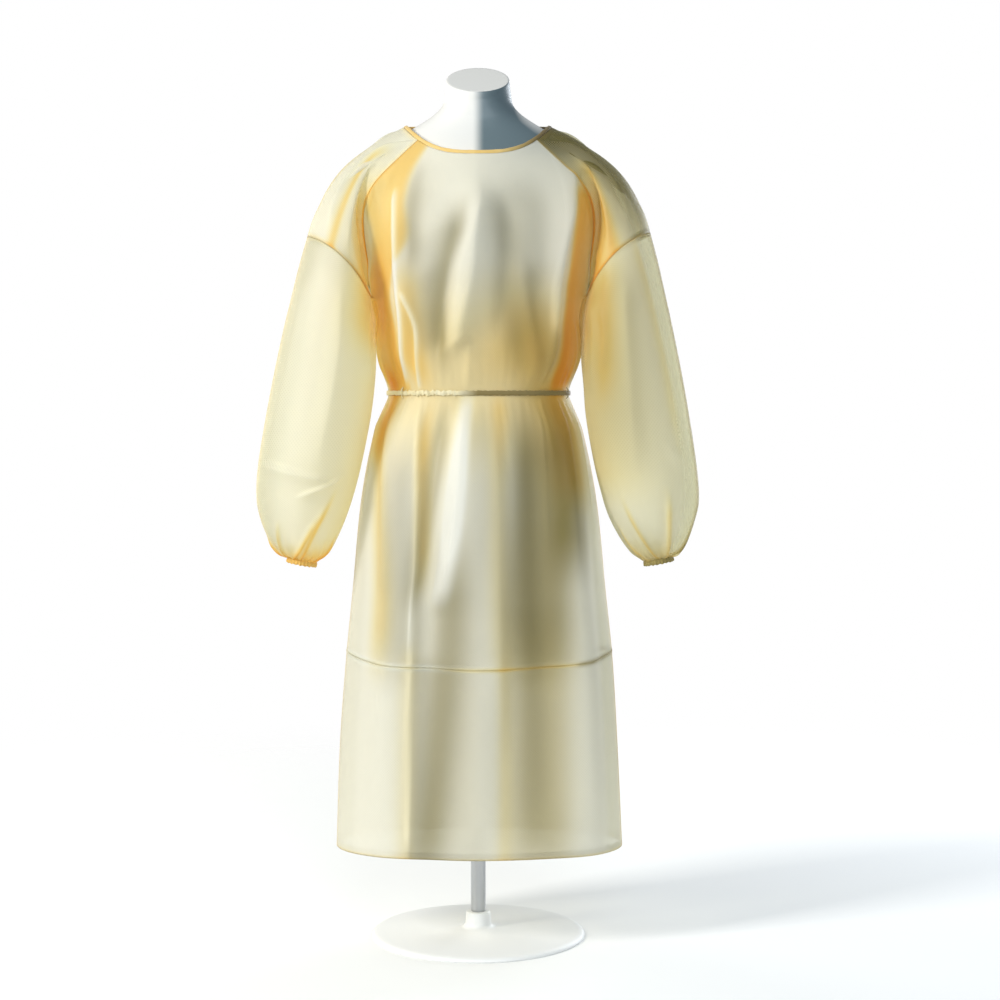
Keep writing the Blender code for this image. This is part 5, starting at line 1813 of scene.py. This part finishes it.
# Rounded edges of the base, from the pole outward: out or inward, and down or up.
SOCKET_PROFILE = ((0.0045, 0.0), (0.0070, 0.0008), (0.0080, 0.0030))
FOOT_PROFILE = ((0.0095, 0.0075), (0.0120, 0.0030), (0.0200, 0.0008))
EDGE_PROFILE = ((0.0120, 0.0040), (0.0045, 0.0056), (0.0012, 0.0078), (0.0, 0.0100))


@dataclass
class Stand:
    """Steel collar and pole on a round powder-coated base."""

    form_bottom: float = 0.700
    gap: float = 0.0003
    pole_radius: float = 0.0125
    collar_radius: float = 0.034
    collar_height: float = 0.012
    base_radius: float = 0.180
    base_height: float = 0.012
    socket_height: float = 0.040

    def rod(self, name: str, radius: float, low: float, high: float, edge: float) -> bpy.types.Object:
        """Upright round bar with eased ends."""
        bm = bmesh.new()
        bmesh.ops.create_cone(
            bm, cap_ends=True, segments=96, radius1=radius, radius2=radius, depth=high - low
        )
        bmesh.ops.translate(bm, vec=(0.0, 0.0, (low + high) / 2), verts=bm.verts)
        rims = [item for item in bm.edges if abs(item.verts[0].co.z - item.verts[1].co.z) < 1e-6]
        bmesh.ops.bevel(
            bm, geom=rims, offset=edge, segments=3, profile=0.5, affect="EDGES", material=-1
        )
        return as_object(name, bm)

    def build(self, steel: bpy.types.Material, paint: bpy.types.Material) -> None:
        """Make the collar, the pole and the base."""
        top = self.form_bottom - self.gap
        collar = self.rod("form_collar_ring", self.collar_radius, top - self.collar_height, top, 0.0012)
        dress(collar, steel, "stand_metal", "form_collar")
        pole_top = top - self.collar_height - self.gap
        pole = self.rod("form_pole_tube", self.pole_radius, self.socket_height + self.gap, pole_top, 0.0006)
        dress(pole, steel, "stand_metal", "form_pole")
        dress(self.base(), paint, "base_paint", "form_base")

    def base(self) -> bpy.types.Object:
        """Round base: a profile turned about the pole, with its edges eased."""
        rim = self.pole_radius
        profile = [
            (0.0, self.socket_height),
            *((rim + out, self.socket_height - down) for out, down in SOCKET_PROFILE),
            *((rim + out, self.base_height + up) for out, up in FOOT_PROFILE),
            (self.base_radius * 0.55, self.base_height - 0.0014),
            *((self.base_radius - inward, self.base_height - down) for inward, down in EDGE_PROFILE),
            (self.base_radius, 0.0010),
            (self.base_radius - 0.0010, 0.0),
            (0.0, 0.0),
        ]
        bm = bmesh.new()
        verts = [bm.verts.new((radius, 0.0, z)) for radius, z in profile]
        edges = [bm.edges.new(pair) for pair in zip(verts, verts[1:])]
        turn = {"cent": (0, 0, 0), "axis": (0, 0, 1), "angle": 2 * math.pi}
        bmesh.ops.spin(bm, geom=verts + edges, steps=160, use_merge=True, **turn)
        bmesh.ops.remove_doubles(bm, verts=bm.verts, dist=0.00001)
        bmesh.ops.recalc_face_normals(bm, faces=bm.faces)
        return as_object("form_base_disc", bm)


# ---------------------------------------------------------------- the studio


@dataclass(frozen=True)
class Lamp:
    """Soft rectangular light."""

    name: str
    place: tuple[float, float, float]
    target: tuple[float, float, float]
    width: float
    height: float
    power: float
    colour: str


LAMPS = [
    Lamp("key from the left", (-2.80, -1.70, 2.35), (0.0, 0.0, 0.95), 0.8, 1.4, 116.0, "#FFFDF8"),
    Lamp("soft front fill", (0.5, -3.4, 2.1), (0.0, 0.0, 0.8), 2.0, 2.0, 62.0, "#E4EEF7"),
    Lamp("light from behind", (1.9, 2.3, 1.4), (0.0, 0.0, 0.9), 1.8, 2.0, 68.0, "#F2F8FF"),
    Lamp("light from behind on the left", (-2.0, 2.2, 1.3), (0.0, 0.0, 0.95), 1.4, 1.8, 30.0, "#FFF8EA"),
]


@dataclass
class Studio:
    """Camera, lights, white surround and pale floor."""

    camera_place: tuple[float, float, float] = (0.0368, -3.417, 0.916)
    lens: float = 73.44
    sensor: float = 36.0
    pitch: float = math.atan(107.0 / 2040.0)
    ambient: float = 0.36
    surround: float = 1.0
    floor_radius: float = 5.0
    floor_fade: float = 2.3

    def build(self) -> None:
        """Make them."""
        self.add_camera()
        for lamp in LAMPS:
            self.add_lamp(lamp)
        self.add_world()
        self.add_floor()
        scene = bpy.context.scene
        scene.view_settings.view_transform = "Standard"

    def add_camera(self) -> None:
        """Camera at the photograph's place and angle."""
        data = bpy.data.cameras.new("camera")
        data.lens = self.lens
        data.sensor_width = self.sensor
        camera = bpy.data.objects.new("camera", data)
        camera.location = self.camera_place
        camera.rotation_euler = (math.pi / 2 - self.pitch, 0.0, 0.0)
        bpy.context.scene.collection.objects.link(camera)
        bpy.context.scene.camera = camera

    def add_lamp(self, lamp: Lamp) -> None:
        """One soft light, turned to its target."""
        data = bpy.data.lights.new(lamp.name, "AREA")
        data.shape = "RECTANGLE"
        data.size = lamp.width
        data.size_y = lamp.height
        data.energy = lamp.power
        data.color = linear(lamp.colour)[:3]
        made = bpy.data.objects.new(lamp.name, data)
        made.location = lamp.place
        aim = [end - start for start, end in zip(lamp.place, lamp.target)]
        made.rotation_euler = (
            math.atan2(math.hypot(aim[0], aim[1]), -aim[2]),
            0.0,
            math.atan2(aim[1], aim[0]) - math.pi / 2,
        )
        bpy.context.scene.collection.objects.link(made)

    def add_world(self) -> None:
        """White surround that the eye sees, with less light in it for the object."""
        world = bpy.data.worlds.new("white surround")
        world.use_nodes = True
        graph = Graph(world.node_tree, "OutputWorld")
        camera_ray = graph.add("LightPath").outputs["Is Camera Ray"]
        soft = graph.add("Background", {"Color": linear("#E4EDF6"), "Strength": self.ambient})
        seen = graph.add("Background", {"Color": linear("#FFFFFF"), "Strength": self.surround})
        graph.show(graph.add("MixShader", {0: camera_ray, 1: soft, 2: seen}))
        bpy.context.scene.world = world

    def add_floor(self) -> None:
        """Pale floor that fades into the surround."""
        bm = bmesh.new()
        bmesh.ops.create_circle(bm, cap_ends=True, segments=96, radius=self.floor_radius)
        floor = as_object("floor", bm)
        made, graph = new_material("matt white floor paint")
        place = graph.add("TexCoord").outputs["Object"]
        scale = (1 / self.floor_fade, 1 / self.floor_fade, 1.0)
        scaled = graph.add("Mapping", {"Scale": scale, "Vector": place})
        spread = graph.add("TexGradient", {"gradient_type": "SPHERICAL", "Vector": scaled}).outputs[1]
        fade = {"From Max": 0.55, "interpolation_type": "SMOOTHSTEP"}
        amount = graph.add("MapRange", {**fade, "Value": spread})
        paint = graph.add("BsdfPrincipled", {"Base Color": linear("#F4F4F2"), "Roughness": 0.8})
        clear = graph.add("BsdfTransparent")
        graph.show(graph.add("MixShader", {0: amount, 1: clear, 2: paint}))
        floor.data.materials.append(made)


# ---------------------------------------------------------------- everything, in order


def main() -> None:
    """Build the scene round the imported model."""
    logging.basicConfig(level=logging.INFO, format="%(name)s: %(message)s")
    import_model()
    Studio().build()
    cloth = NonwovenFinish().build()
    # The last colour of each tape is painted shade for its stretch right of the middle, away from the light.
    binding = FoldedTapeFinish("folded golden tape", "#F3D893", "#EBC568", "#857040", (0.035, 0.10)).build()
    elastic = FoldedTapeFinish("gathered elastic casing", "#F2D070", "#D9A540", "#A08F50").build()
    tie = FoldedTapeFinish("folded cream tie", "#F3ECCF", "#E0D29A", "#8C7A45").build()
    # The slate colour is painted shade on the neck's side away from the light.
    shell = HardFinish(
        "moulded satin shell", "#E0DED8", 0.42, bump=0.01, coat=0.1, painted_shade_colour="#5E6E73"
    ).build()
    steel = HardFinish(
        "brushed steel", "#B9BBBD", 0.30, metallic=1.0, grain=700.0, stretch=(1.0, 1.0, 0.03)
    ).build()
    paint = HardFinish("satin powder coat", "#EDEDEA", 0.45, grain=900.0, bump=0.06).build()
    body = Body(SIZES)
    DressForm().build(shell)
    Stand().build(steel, paint)
    BodyPanels(body, cloth).build()
    # The right arm's plain shade is painted shade on the side away from the light.
    Arm(
        body, "right", 1.0, RIGHT_SLEEVE, RIGHT_SLEEVE_FOLDS, RIGHT_SLEEVE_CREASES, CuffGathers(3),
        (0.10, 0.50, 0.10), RIGHT_SLEEVE_TONES, RIGHT_SHOULDER_TONES,
    ).build(cloth, elastic)
    Arm(
        body, "left", -1.0, LEFT_SLEEVE, LEFT_SLEEVE_FOLDS, LEFT_SLEEVE_CREASES, CuffGathers(8),
        (0.04, 0.46, 0.0), LEFT_SLEEVE_TONES, LEFT_SHOULDER_TONES,
    ).build(cloth, elastic)
    NeckTrim(body, binding).build()
    Belt(body, tie).build()


if __name__ == "__main__":
    main()
